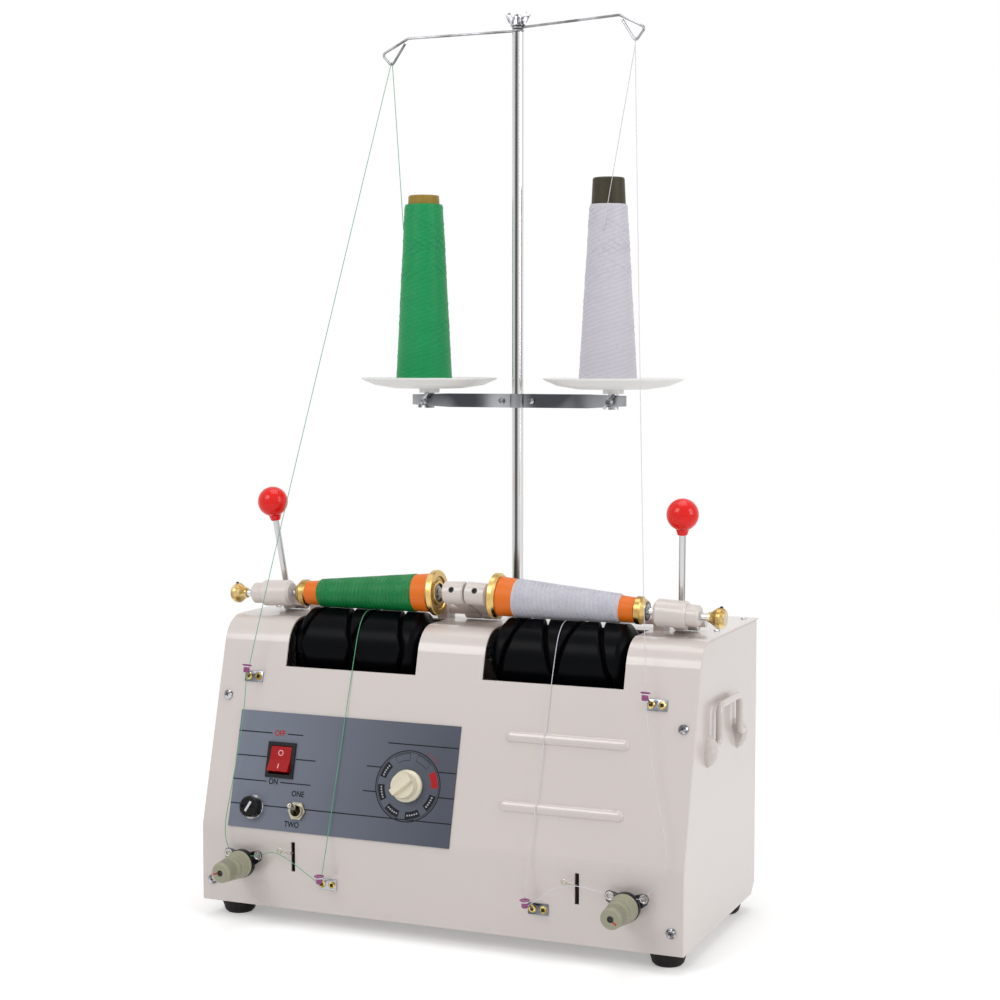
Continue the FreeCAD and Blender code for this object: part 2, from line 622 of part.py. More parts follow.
def web(start, width, axis_z, radius):
    """The sloping web between a boss on the winding axis and the hub round the pivot."""
    rise = f"({axis_z}-body_height-pivot_rise)"
    run = "(pivot_depth-head_depth)"
    long = f"sqrt({rise}*{rise}+{run}*{run})"
    up = f"{run}/{long}"
    back = f"{rise}/{long}"
    low = "(hub_radius*0.7)"
    points = [(f"-{run}+{radius}*{back}", f"{rise}+{radius}*{up}"),
              (f"{low}*{back}", f"{low}*{up}"), (f"-{low}*{back}", f"-{low}*{up}"),
              (f"-{run}-{radius}*{back}", f"{rise}-{radius}*{up}")]
    return slab(PIVOT, "YZ_Plane", points, width, place=at(start, 0, 0))


def cradle():
    """Inner arm with the knuckle, outer arm with the spindle barrel, and the pivot rod."""
    knuckle = turned(AXIS, [("knuckle_start", 0), ("knuckle_start", "knuckle_radius-1"),
                            ("knuckle_start+1", "knuckle_radius"), ("knuckle_end-1.5", "knuckle_radius"),
                            ("knuckle_end", "knuckle_radius-1.5"), ("knuckle_end", 0)])
    height = "(axis_height-8*sin(axis_tilt))"
    inner = fuse(knuckle, web("knuckle_start", "arm_width", height, 7),
                 rod(PIVOT, ("knuckle_start", 0, 0), "x", "hub_radius", "arm_width"))
    hole = rod(AXIS, ("knuckle_start+3", 0, 0), "x", "pin_radius", "knuckle_end")
    screw = rod(AXIS + "*" + at("knuckle_start/2+knuckle_end/2", 0, 0, (1, 0, 0), 68), (0, 0, 0), "z", 2.5, 20)
    pivot = rod(PIVOT, ("knuckle_start", 0, 0), "x", "pivot_radius", "pivot_end-knuckle_start")
    inner = cut(inner, hole, screw, pivot)

    barrel = turned(AXIS, [(barrelStart, 0), (barrelStart, "barrel_radius-2.5"),
                           (f"{barrelStart}+2.5", "barrel_radius"), ("barrel_end-1.5", "barrel_radius"),
                           ("barrel_end", "barrel_radius-1.5"), ("barrel_end", "collar_radius"),
                           ("collar_end-1.5", "collar_radius"), ("collar_end", "collar_radius-1.5"),
                           ("collar_end", 0)])
    height = "(axis_height-(outer_arm_start+outer_arm_width/2)*sin(axis_tilt))"
    pieces = (barrel, web("outer_arm_start", "outer_arm_width", height, 8.5),
              rod(PIVOT, ("outer_arm_start", 0, 0), "x", "hub_radius", "outer_arm_width"),
              rod(LEVER, (0, 0, -7), "z", "lever_boss", "lever_rise"))
    bores = (rod(AXIS, (f"{barrelStart}-1", 0, 0), "x", "spindle_radius+run_fit", f"collar_end-{barrelStart}+2"),
             pivot, rod(LEVER, (0, 0, 0), "z", "lever_radius", "lever_length"))
    outer = fuse(*[cut(piece, *bores) for piece in pieces], refine=False)
    length = "flange_start+flange_thick-knuckle_start-2"
    pin = rod(AXIS, ("knuckle_start+3", 0, 0), "x", "pin_radius", length)
    keep_pair("cradle", group(inner, outer, pivot, pin))


def lever():
    keep_pair("lever_rod", rod(LEVER, (0, 0, 0), "z", "lever_radius", "lever_length"))
    collar = cone(LEVER, (0, 0, "lever_length-ball_radius-3.5"), "z", 4, 5.5, 5)
    grip = fuse(ball(LEVER, (0, 0, "lever_length"), "ball_radius"), collar)
    keep_pair("lever_ball", cut(grip, rod(LEVER, (0, 0, 0), "z", "lever_radius", "lever_length")))


def live_flange():
    """The large brass flange that turns on the pin and holds the cone's wide end."""
    bore = "pin_radius+run_fit"
    nose = f"{tube_radius('cone_start')}-cone_wall-0.1"
    points = [("flange_start", bore), ("flange_start", 4.5), ("flange_start+1.2", 4.5),
              ("flange_start+1.2", "head_bearing"), ("flange_start", "head_bearing"),
              ("flange_start", "head_bearing+2"), ("flange_start+1.2", "head_bearing+2.4"),
              ("flange_start+1.2", "flange_radius-5.5"), ("flange_start", "flange_radius-5"),
              ("flange_start", "flange_radius-0.8"), ("flange_start+0.8", "flange_radius"),
              ("flange_start+flange_thick", "flange_radius"),
              ("cone_start-0.1", "flange_radius-1.6"), ("cone_start-0.1", nose),
              ("cone_start+7", f"{nose}-1.2"), ("cone_start+7", "pin_radius+3"),
              ("flange_start+flange_thick+2", "pin_radius+3"), ("flange_start+flange_thick+2", bore)]
    keep_pair("live_flange", turned(AXIS, points))


def yarn_cone():
    wall = "cone_wall"
    points = [("cone_start", f"{tube_radius('cone_start')}-{wall}"), ("cone_start", tube_radius("cone_start")),
              ("cone_end", tube_radius("cone_end")), ("cone_end", f"{tube_radius('cone_end')}-{wall}")]
    keep_pair("yarn_cone", turned(AXIS, points))
    points = [("wind_start", tube_radius("wind_start")), ("wind_start+0.6", line_radius("wind_start+0.6")),
              ("wind_end-1.2", line_radius("wind_end-1.2")), ("wind_end", tube_radius("wind_end"))]
    keep_pair("wound_thread", turned(AXIS, points))


def small_centre():
    """The small brass centre that the spindle presses into the cone's narrow end."""
    bore = "spindle_radius+run_fit"
    nose = f"{tube_radius('cone_end')}-cone_wall-0.1"
    points = [("cone_end-5", bore), ("cone_end-5", f"{nose}-0.6"), ("cone_end+0.1", nose),
              ("cone_end+0.1", "centre_radius-1.5"), ("cone_end+1", "centre_radius"),
              ("cone_end+5", "centre_radius"), ("cone_end+6", "centre_radius-1"),
              ("centre_end-1", "centre_radius-3"), ("centre_end", "centre_radius-4"), ("centre_end", bore)]
    keep_pair("small_centre", turned(AXIS, points))


def spindle():
    keep_pair("spindle", rod(AXIS, ("spindle_start", 0, 0), "x", "spindle_radius", "spindle_end-spindle_start"))
    points = [("knob_start", "spindle_radius"), ("knob_start", "spindle_radius+1.2"),
              ("knob_start+1.5", "spindle_radius+1.4"), ("knob_start+7.5", "knob_radius"),
              ("knob_end-3", "knob_radius"), ("knob_end", "knob_radius-2"), ("knob_end", 0),
              ("spindle_end", 0), ("spindle_end", "spindle_radius")]
    keep_pair("spindle_knob", turned(AXIS, points))


def pillow_blocks():
    blocks = []
    for start in ("pillow_inner", "pillow_outer"):
        width = 16
        low = (start, f"-{width}/2", "-pivot_rise")
        high = (f"{start}+pillow_width", f"{width}/2", 1)
        body = fuse(block(PIVOT, low, high), rod(PIVOT, (start, 0, 0), "x", "hub_radius+0.5", "pillow_width"))
        below = block(PIVOT, (f"{start}-1", -20, "-pivot_rise-9"), (f"{start}+pillow_width+1", 20, "-pivot_rise"))
        bore = rod(PIVOT, (f"{start}-1", 0, 0), "x", "pivot_radius+run_fit", "pillow_width+2")
        blocks.append(cut(body, below, bore))
    keep("pillow_blocks", group(*blocks, *[mirror(piece) for piece in blocks]))


# ---- thread stand ----
def stand():
    frame = f"{BODY}*{at(0, 'rod_depth', 0)}"
    pole = fuse(rod(frame, (0, 0, "body_height-20"), "z", "rod_radius", "rod_top-body_height+20"),
                rod(frame, (0, 0, "rod_top-1"), "z", "stud_radius", "stud_rise+1"))
    keep("stand_rod", pole)
    points = [("rod_radius", "body_height"), (15, "body_height"), (15, "body_height+3"),
              (9, "body_height+4.5"), (9, "body_height+15"), ("rod_radius", "body_height+15")]
    socket = upright(frame, points)
    nut = doc.addObject("Part::Prism", "Nut")
    nut.Polygon = 6
    nut.Circumradius = 9
    nut.Height = 7
    settle(nut, frame, at(0, 0, "body_height-skin-7"))
    below = cut(nut, rod(frame, (0, 0, "body_height-20"), "z", "rod_radius", 30))
    low, high = "bar_height", "bar_height+bar_width"
    strips = []
    for side, half in (("-", "bar_half"), ("", "bar_clamp")):
        points = [(f"-{half}", f"{low}+2"), (f"-{half}*0.65", low), (f"{half}*0.65", low), (half, f"{low}+2"),
                  (half, f"{high}-1"), (f"{half}*0.65", high), (f"-{half}*0.65", high), (f"-{half}", f"{high}-1")]
        shift = "-bar_gap" if side == "-" else "bar_gap+bar_thick"
        strip = slab(frame, "XZ_Plane", points, "bar_thick", place=at(0, shift, 0))
        sleeve = rod(frame, (0, 0, low), "z", "rod_radius+bar_thick", "bar_width")
        if side == "-":
            spare = block(frame, (-20, "-bar_gap", low), (20, 20, high))
        else:
            spare = block(frame, (-20, -20, low), (20, "bar_gap", high))
        holes = [rod(frame, (x, -20, f"{low}+bar_width/2"), "y", 1.75, 40) for x in ("bar_screw", "-bar_screw")]
        if side == "-":
            holes += [rod(frame, (x, -20, f"{low}+bar_width/2"), "y", 2, 40) for x in ("tray_place", "-tray_place")]
        bore = rod(frame, (0, 0, f"{low}-1"), "z", "rod_radius", "bar_width+2")
        strips.append(cut(fuse(strip, cut(sleeve, spare)), bore, *holes))
    keep("stand_bar", group(*strips))
    screws = [bar_screw(frame, x) for x in ("bar_screw", "-bar_screw")]
    wings = [wing_screw(frame, x) for x in ("tray_place", "-tray_place")]
    keep("stand_fasteners", group(socket, below, *screws, *wings, wing_nut()))
    trays(frame)


def bar_screw(frame, across):
    middle = "bar_height+bar_width/2"
    shank = rod(frame, (across, "-bar_gap-bar_thick-0.1", middle), "y", 1.75, "2*bar_gap+2*bar_thick+3.2")
    head = rod(frame, (across, "-bar_gap-bar_thick-1.6", middle), "y", 2.6, 1.6)
    nut = rod(frame, (across, "bar_gap+bar_thick", middle), "y", 3, 2.6)
    return fuse(shank, head, nut)


def wing_screw(frame, across):
    middle = "bar_height+bar_width/2"
    face = "-bar_gap-bar_thick"
    place = f"{frame}*{at(across, face, middle)}"
    shank = rod(place, (0, -1, 0), "y", 2, "bar_thick+bar_gap+4")
    hub = rod(place, (0, -5, 0), "y", 3.4, 5)
    wings = [block(f"{place}*{at(0, 0, 0, (0, 1, 0), turn)}", (-1, -7, 2), (1, -3, 7.5)) for turn in (35, 215)]
    return fuse(shank, hub, *wings)


def trays(frame):
    dishes, posts, tubes = [], [], []
    for side in ("", "-"):
        place = at(f"{side}tray_place", "post_radius", 0)
        points = [("stud_radius", "tray_boss_low"), ("tray_boss", "tray_boss_low"), ("tray_boss", "tray_floor-1"),
                  ("tray_flat+1", "tray_floor-0.6"), (48, "tray_floor+2.2"), ("tray_radius-0.4", "tray_rim-1.2"),
                  ("tray_radius", "tray_rim"), ("tray_radius-1.4", "tray_rim+0.4"), (47, "tray_floor+4.6"),
                  ("tray_flat", "tray_floor+1.6"), ("stud_radius", "tray_floor+1.6")]
        dishes.append(upright(frame, points, place))
        points = [(0, "bar_height-1"), ("post_radius", "bar_height-1"), ("post_radius", "tray_boss_low"),
                  ("stud_radius", "tray_boss_low"), ("stud_radius", "pin_top"), (0, "pin_top")]
        hole = rod(f"{frame}*{place}", (0, -20, "bar_height+bar_width/2"), "y", 2, "19.6")
        posts.append(cut(upright(frame, points, place), hole))
        name = "left" if side else "right"
        stood = at(f"{side}tray_place-supply_shift", "post_radius", 0)
        tubes.append(upright(frame, supply_tube(f"{name}_tube_top"), stood))
        keep(f"supply_thread_{name}", upright(frame, supply_thread(name), stood))
    keep("trays", group(*dishes))
    keep("tray_posts", group(*posts))
    keep("supply_tubes", group(*tubes))


supplyFoot = "(tray_floor+1.6)"


def supply_outside(height, top):
    share = f"(({height})-{supplyFoot})/({top}-1-{supplyFoot})"
    return f"(tube_foot+(tube_top-tube_foot)*{share}+seam/4)"


def supply_tube(top):
    wall = "tube_wall"
    return [(f"tube_foot-{wall}", supplyFoot), ("tube_foot", supplyFoot), ("tube_top", f"{top}-1"),
            ("tube_top-0.8", top), (f"tube_top-{wall}", top)]


def supply_thread(name):
    foot, top = f"({supplyFoot}+2)", f"{name}_thread_top"
    tube = f"{name}_tube_top"
    return [(supply_outside(foot, tube), foot), (f"{name}_thread_foot-1", foot),
            (f"{name}_thread_foot", f"{foot}+3"), (f"{name}_thread_head", f"{top}-2.5"),
            (f"{name}_thread_head-0.6", top), (supply_outside(top, tube), top)]


def eyelets():
    wires = []
    for turn, lift in (("-eye_swing", 3.9), ("180", 1.3)):
        place = f"{BODY}*{at(0, 'rod_depth', f'rod_top+{lift}', (0, 0, 1), turn)}"
        seam_behind = f"{place}*{at(0, 0, 0, (0, 0, 1), 130)}"
        loop = ring(seam_behind, (0, 0, 0), "z", "stud_radius+eye_wire+0.1", "eye_wire")
        radius = value("eye_wire")
        reach = value("eye_reach")
        points = [(value("stud_radius+eye_wire+0.1"), 0, 0), (reach, 0, 0), (reach + 25.5, 0, -12.5),
                  (reach + 16, 0, -23), (reach + 3, 0, -4.3)]
        arm = settle(bent_wire("EyeWire", points, radius, value("eye_bend")), place)
        wires.append(fuse(loop, arm))
    keep("eyelet_wires", group(*wires))


def wing_nut():
    frame = f"{BODY}*{at(0, 'rod_depth', 'rod_top+5.1')}"
    washer = rod(frame, (0, 0, 0), "z", 6.5, 1.2)
    hub = cone(frame, (0, 0, 1.2), "z", 5.6, 4.6, 6.5)
    wings = []
    for side in (0, 180):
        spot = f"{frame}*{at(0, 0, 0, (0, 0, 1), side)}*{at(3.5, 0, 5, (0, 1, 0), 30)}"
        wings.append(block(spot, (0, -1.1, 0), (4.6, 1.1, 8)))
    return cut(fuse(washer, hub, *wings), rod(frame, (0, 0, -1), "z", "stud_radius", 20))


# ---- thread path on the front ----
def thread_guides():
    """Four small plates, each with a brass screw and a ceramic ring on a leaning wire stem."""
    pieces = []
    for side in ("right", "left"):
        sign = "" if side == "right" else "-"
        high = f"{PANEL}*{at(f'{sign}guide_across', 'guide_up', 0)}"
        low = f"{LIP}*{at(f'{sign}low_guide_across', 'low_guide_up', 0)}"
        pieces += thread_guide(high, f"{side}_eye_shift", "eye_lift", "y")
        pieces += thread_guide(low, f"{side}_eye_shift", "low_eye_lift", "x")
    keep("thread_guides", group(*pieces))


def thread_guide(place, shift, lift, along):
    plate = block(place, ("-guide_long/2", "-guide_tall/2", 0), ("guide_long/2", "guide_tall/2", "guide_thick"))
    run = f"(guide_screw-{shift})"
    reach = "(eye_stand-eye_ring)"
    long = f"sqrt({run}*{run}+{lift}*{lift}+{reach}*{reach})"
    lean = at("-guide_screw", 0, 0, ("-" + lift, run, 0), f"acos({reach}/{long})")
    stem = rod(f"{place}*{lean}", (0, 0, 0), "z", 0.9, long)
    eye = ring(place, (f"-{shift}", lift, "eye_stand"), along, "eye_ring", "eye_ring_wire")
    screw = upright(place, [(1, "guide_thick"), (2.9, "guide_thick"), (2.9, "guide_thick+0.8"),
                            (2.2, "guide_thick+1.4"), (1, "guide_thick+1.4")], at("guide_screw", 0, 0))
    below = block(place, (-20, -20, -20), (20, 20, 0))
    return [cut(fuse(plate, stem), eye, below), screw, eye]


def tension_units():
    plates, housings = [], []
    for side in ("", "-"):
        place = f"{LIP}*{at(f'{side}tension_across', 'tension_up', 0)}"
        hub = upright(place, [("tension_stud", 0), (7, 0), (6, 6), ("tension_stud", 6)])
        points = [(-5, -5), (5, -5), ("eyelet_half+3", "eyelet_lift-4"), ("eyelet_half+3", "eyelet_lift+3"),
                  ("eyelet_half-3", "eyelet_lift+3.5"), (0, 7), ("3-eyelet_half", "eyelet_lift+3.5"),
                  ("-eyelet_half-3", "eyelet_lift+3"), ("-eyelet_half-3", "eyelet_lift-4")]
        plate = slab(place, "XY_Plane", points, 1.5, place=at(0, 0, 6))
        eyes = [("eyelet_half", "eyelet_lift"), ("-eyelet_half", "eyelet_lift")]
        holes = [rod(place, (x, y, 5), "z", 2.3, 5) for x, y in eyes]
        rings = [ring(place, (x, y, 6.75), "z", 3, 1.1) for x, y in eyes]
        stud = rod(place, (0, 0, -9), "z", "tension_stud", "tension_reach+4")
        nut = rod(place, (0, 0, "-skin-4"), "z", 4.6, 4)
        plates.append(fuse(cut(fuse(plate, *rings), *holes), stud, nut, hub))
        for near, lip in ((8.8, 0), (10.4, 1)):
            flare = 0.8 * (1 - 2 * lip)
            edge = [("tension_stud+0.1", near), ("disc_radius-3", near), ("disc_radius", near - flare),
                    ("disc_radius", near - flare + 0.9), ("disc_radius-3", near + 0.9),
                    ("tension_stud+0.1", near + 0.9)]
            plates.append(upright(place, edge))
        housings.append(upright(place, [("tension_stud", 12.6), ("housing_radius-0.4", 12.6),
                                        ("housing_radius+0.9", 13.4), ("housing_radius+0.9", 14.8),
                                        ("housing_radius", 15.6), ("housing_radius-0.4", 24.6),
                                        ("housing_radius-1.4", 25.5), ("tension_stud", 25.5)]))
        name = "left" if side else "right"
        knob = upright(place, [("tension_stud+run_fit", 25.9), ("tension_knob-0.6", 25.9), ("tension_knob", 26.6),
                               ("tension_knob", 30), ("tension_knob-0.7", 30.6), ("tension_knob-0.7", 31.2),
                               ("tension_knob-0.3", 31.8), ("tension_knob-1.2", "tension_reach-1.4"),
                               ("tension_knob-2.6", "tension_reach"), (2.6, "tension_reach"),
                               (2.6, "tension_reach-4"), ("tension_stud+run_fit", "tension_reach-4")])
        keep(f"tension_knob_{name}", knob)
    keep("tension_plates", group(*plates))
    keep("tension_housings", group(*housings))


def drop_wires():
    """The wires that feel the thread; each swings on a pin behind its slot."""
    for side in ("", "-"):
        place = f"{LIP}*{at(f'{side}slot_across', 'drop_up', '-drop_back')}"
        hub = rod(place, (-3, 0, 0), "x", 3, 6)
        bore = rod(place, (-4, 0, 0), "x", "drop_pin+run_fit", 8)
        back = value("drop_back")
        points = [(0, 0, 1), (0, 4.5, back + 6), (-5.5, 6.2, back + 8)]
        wire = settle(bent_wire("Wire", points, value("drop_wire"), 2), place)
        eye = ring(place, (-7.6, 6.9, back + 8.8), "z", 1.9, 0.75)
        name = "left" if side else "right"
        keep(f"drop_wire_{name}", cut(fuse(hub, wire, eye), bore))


def drop_brackets():
    brackets = []
    for side in ("", "-"):
        place = f"{LIP}*{at(f'{side}slot_across', 'drop_up', '-drop_back')}"
        plate = block(place, (4, -8, -6), (5.5, 8, "drop_back-skin"))
        pin = rod(place, (-4, 0, 0), "x", "drop_pin", 9.5)
        foot = block(place, (4, -8, "drop_back-skin-1.5"), (12, 8, "drop_back-skin"))
        brackets.append(fuse(plate, foot, pin))
    return brackets


def handles():
    """Bent rod handles that hinge on the pressed lugs of the side panels."""
    out, up = value("handle_out"), value("handle_up")
    front, back = value("handle_front"), value("handle_back")
    stub = value("lug_back") - 1
    top = up + value("handle_rise")
    half = value("body_width") / 2
    points = [(half + out, front - stub, up), (half + out, front, up), (half + out, front, top),
              (half + out, back, top), (half + out, back, up), (half + out, back + stub, up)]
    keep_pair("handle", settle(bent_wire("Bail", points, value("handle_wire"), value("handle_bend")), BODY))


# Routes of the two threads, from the supply cone over the eyelet and down to the drum.
ROUTES = {
    "thread_right": [
        (83, 67.5, 574), (116.8, 53.4, 729.1), (116.5, 52.1, 729.8), (116.2, 50.8, 729.1),
        (171.9, -81, 208.2), (177.5, -87.2, 175), (183.5, -93, 146), (191, -99.4, 121),
        (197, -104.6, 102), (198, -107.4, 86), (192, -107.2, 70), (182.2, -105.4, 60),
        (179.3, -111.4, 58), (155.2, -111.4, 58), (152.6, -105.7, 58), (116.7, -112.4, 65.9),
        (87.1, -115.4, 42.9), (85.7, -115.4, 43), (84.7, -115.2, 44.1), (89.7, -67.7, 209.5),
        (89.9, -50.6, 256.7), (90, -35.4, 256.7)],
    "thread_left": [
        (-110.4, 83.5, 580), (-120.1, 82.5, 726.5), (-120.1, 81.2, 727.2), (-120.1, 79.8, 726.5),
        (-178.3, -81, 208.2), (-177.2, -86.8, 178), (-178.2, -92.6, 151), (-180.5, -98.4, 125),
        (-183, -103.2, 102), (-185.3, -106.8, 82), (-184.9, -107, 69), (-182, -105.4, 60),
        (-179.3, -111.4, 58), (-155.2, -111.4, 58), (-152.6, -105.7, 58), (-131.9, -113.8, 65.9),
        (-93.5, -115.4, 42.9), (-92.1, -115.4, 43), (-91.1, -115.2, 44.1), (-86.5, -67.7, 209.5),
        (-86.3, -50.6, 256.7), (-86.2, -35.4, 256.7)],
}


def threads():
    for label, route in ROUTES.items():
        path, radii = cord_path([V(*point) for point in route])
        radius = value("thread_radius")
        ahead = V(*route[1]) - V(*route[0])
        section = Part.Wire([Part.makeCircle(radius, V(*route[0]), ahead)])
        piece = doc.addObject("Part::Feature", label)
        piece.Shape = path.makePipeShell([section], True, True)
        keep(label, piece)
        share = piece.Shape.Volume / (math.pi * radius ** 2 * path.Length)
        print(label, "length", round(path.Length), "volume share", round(share, 4))
        print("  radii", " ".join(f"{size:.1f}" for size in radii))


def cord_path(points):
    """Straight runs with, at each point, an arc as large as its two runs allow."""
    edges = []
    radii = []
    last = points[0]
    for before, corner, after in zip(points, points[1:], points[2:]):
        back = before - corner
        ahead = after - corner
        reach = 0.45 * min(back.Length, ahead.Length, 50)
        back.normalize()
        ahead.normalize()
        half = back.getAngle(ahead) / 2
        bend = reach * math.tan(half)
        middle = corner + (back + ahead).normalize() * (bend / math.sin(half) - bend)
        edges.append(Part.LineSegment(last, corner + back * reach).toShape())
        edges.append(Part.Arc(corner + back * reach, middle, corner + ahead * reach).toShape())
        radii.append(bend)
        last = corner + ahead * reach
    edges.append(Part.LineSegment(last, points[-1]).toShape())
    return Part.Wire(edges), radii


LEVER = (f"{at('lever_place', f'{frontY}+lever_depth', 'foot_height+body_height+lever_rise', angle='lever_lean')}"
         f"*{at(0, 0, 0, (0, 1, 0), 'lever_splay')}")
DRUM = at(0, f"{frontY}+head_depth", "foot_height+drum_height")
MOTOR = at(0, f"{frontY}+motor_depth", "foot_height+motor_height")

for make in (front_cover, side_panels, back_panel, base_tray, feet, cover_screws, cord_gland, faceplate,
             rocker_switch, panel_fittings, toggle_lever, speed_knob, drums, inner_brackets, motor, drive_belt,
             cradle, lever, live_flange, yarn_cone, small_centre, spindle, pillow_blocks, stand,
             eyelets, thread_guides, tension_units, drop_wires, handles, threads):
    make()
doc.recompute()

failed = [f"{item.Label}: {item.State}" for item in doc.Objects
          if "Invalid" in item.State or "Error" in item.State]
failed += [f"{piece.Label}: bad shape" for piece in nodes
           if piece.Shape.isNull() or not piece.Shape.isValid()]
failed += [f"{item.Label}: nothing left" for item in doc.Objects
           if item.TypeId in ("Part::Cut", "Part::MultiFuse")
           and (item.Shape.isNull() or not item.Shape.Solids)]
if failed:
    raise SystemExit("\n".join(failed))
os.makedirs("parts", exist_ok=True)
for piece in nodes:
    piece.Shape.exportStep(f"parts/{piece.Label}.step")
print(len(nodes), "nodes written")
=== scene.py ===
import bpy
import math
from mathutils import Matrix, Vector


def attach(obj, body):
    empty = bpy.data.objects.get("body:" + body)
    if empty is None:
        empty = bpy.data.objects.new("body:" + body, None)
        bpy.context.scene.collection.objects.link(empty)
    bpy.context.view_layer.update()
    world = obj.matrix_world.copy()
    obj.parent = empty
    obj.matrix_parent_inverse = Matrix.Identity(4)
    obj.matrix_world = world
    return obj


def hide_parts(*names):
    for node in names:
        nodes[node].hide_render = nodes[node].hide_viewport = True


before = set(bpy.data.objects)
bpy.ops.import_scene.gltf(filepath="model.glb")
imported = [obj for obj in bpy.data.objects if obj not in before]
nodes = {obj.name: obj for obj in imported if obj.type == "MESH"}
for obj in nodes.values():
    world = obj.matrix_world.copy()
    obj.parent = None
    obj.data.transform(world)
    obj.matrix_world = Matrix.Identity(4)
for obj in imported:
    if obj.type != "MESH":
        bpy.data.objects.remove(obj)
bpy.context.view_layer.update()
print("frame loaded")

# places on the machine, in metres: x along, y up the face, z out of it
lipPlace = Matrix.Translation((0, -0.10135, 0.014)) @ Matrix.Rotation(math.radians(90), 4, "X")
panelPlace = Matrix.Translation((0, -0.10135, 0.078)) @ Matrix.Rotation(math.radians(75), 4, "X")
drumPlace = Matrix.Translation((0, -0.02885, 0.226))
headPlace = Matrix.Translation((0, -0.02885, 0.2743)) @ Matrix.Rotation(math.radians(2.67), 4, "Y")
standPlace = Matrix.Translation((0, 0.08115, 0.014))
leverPlace = (Matrix.Translation((0.178, -0.00835, 0.258)) @ Matrix.Rotation(math.radians(11), 4, "X")
              @ Matrix.Rotation(math.radians(3.6), 4, "Y"))
otherSide = Matrix.Scale(-1, 4, (1, 0, 0))
tension = {"across": 0.1672, "up": 0.037, "eyeAcross": 0.0135, "eyeUp": 0.058, "eyeRing": 0.0034,
           "eyeHole": 0.0019}

camera = {"place": (0.6371, -1.4768, 0.4653), "down": 85.86, "turn": 22.763, "lens": 69.62, "sensor": 36}


def makeCamera():
    turns = (math.radians(camera["down"]), 0, math.radians(camera["turn"]))
    bpy.ops.object.camera_add(location=camera["place"], rotation=turns)
    made = bpy.context.object
    made.data.lens = camera["lens"]
    made.data.sensor_width = camera["sensor"]
    bpy.context.scene.camera = made
    bpy.context.scene.view_settings.view_transform = "Standard"


makeCamera()
print("camera made")


class Wire:
    # an output socket that can be used in sums
    def __init__(self, shader, socket):
        self.shader = shader
        self.socket = socket

    def math(self, kind, *others):
        return self.shader.node("ShaderNodeMath", {"operation": kind}, [self, *others])

    def __add__(self, other):
        return self.math("ADD", other)

    def __sub__(self, other):
        return self.math("SUBTRACT", other)

    def __rsub__(self, other):
        return self.shader.node("ShaderNodeMath", {"operation": "SUBTRACT"}, [other, self])

    def __mul__(self, other):
        return self.math("MULTIPLY", other)

    def __truediv__(self, other):
        return self.math("DIVIDE", other)

    def __gt__(self, other):
        return self.math("GREATER_THAN", other)

    def __lt__(self, other):
        return self.math("LESS_THAN", other)

    __radd__ = __add__
    __rmul__ = __mul__


class Shader:
    def __init__(self, name):
        self.material = bpy.data.materials.new(name)
        self.material.use_nodes = True
        self.tree = self.material.node_tree
        self.surface = self.tree.nodes["Principled BSDF"]

    def node(self, kind, settings=None, inputs=(), output=0):
        made = self.tree.nodes.new(kind)
        for key, setting in (settings or {}).items():
            if key == "stops":
                self.fillRamp(made.color_ramp, setting)
            else:
                setattr(made, key, setting)
        pairs = inputs.items() if isinstance(inputs, dict) else enumerate(inputs)
        for key, entry in pairs:
            self.feed(made.inputs[key], entry)
        return Wire(self, made.outputs[output])

    def feed(self, socket, entry):
        if isinstance(entry, Wire):
            self.tree.links.new(entry.socket, socket)
        else:
            socket.default_value = entry

    def fillRamp(self, ramp, stops):
        while len(ramp.elements) < len(stops):
            ramp.elements.new(0.5)
        for element, (place, level) in zip(ramp.elements, stops):
            element.position = place
            element.color = (level, level, level, 1)

    def where(self):
        return self.node("ShaderNodeTexCoord", output="Object")

    def noise(self, vector, scale, detail=2.0):
        return self.node("ShaderNodeTexNoise", {}, {"Vector": vector, "Scale": scale, "Detail": detail})

    def mix(self, factor, first, second):
        return self.node("ShaderNodeMix", {"data_type": "RGBA"}, {0: factor, 6: first, 7: second}, output=2)

    def bump(self, height, strength, distance):
        return self.node("ShaderNodeBump", {}, {"Strength": strength, "Distance": distance, "Height": height})

    def part(self, vector, direction):
        # how far a vector reaches along a direction
        pair = [vector, tuple(direction)]
        return self.node("ShaderNodeVectorMath", {"operation": "DOT_PRODUCT"}, pair, output="Value")

    def along(self, place):
        # position along, across and up a place's own axes
        local = self.node("ShaderNodeVectorMath", {"operation": "SUBTRACT"},
                          [self.where(), tuple(place.translation)])
        turned = place.to_3x3()
        return [self.part(local, turned.col[index]) for index in range(3)]

    def finish(self, **entries):
        names = {"colour": "Base Color", "roughness": "Roughness", "metallic": "Metallic",
                 "normal": "Normal", "coat": "Coat Weight", "coatRoughness": "Coat Roughness",
                 "specular": "Specular IOR Level"}
        for key, entry in entries.items():
            self.feed(self.surface.inputs[names[key]], entry)
        return self.material


def rgb(red, green, blue):
    # screen values from 0 to 255, made linear
    return (*(((part / 255 + 0.055) / 1.055) ** 2.4 for part in (red, green, blue)), 1)


def shade(colour, factor):
    return (*(min(part * factor, 1) for part in colour[:3]), 1)


def paint(name, colour, peel=0.12, gloss=0.24, coat=0.5):
    # sprayed enamel: faint orange peel, with tone and gloss a little uneven
    shader = Shader(name)
    skin = shader.noise(shader.where(), 380, 1.0)
    broad = shader.noise(shader.where(), 9, 3.0)
    tone = shader.mix(broad, shade(colour, 0.97), shade(colour, 1.03))
    return shader.finish(colour=tone, roughness=broad * 0.1 + gloss, coat=coat, coatRoughness=0.08,
                         normal=shader.bump(skin, peel, 0.0003))


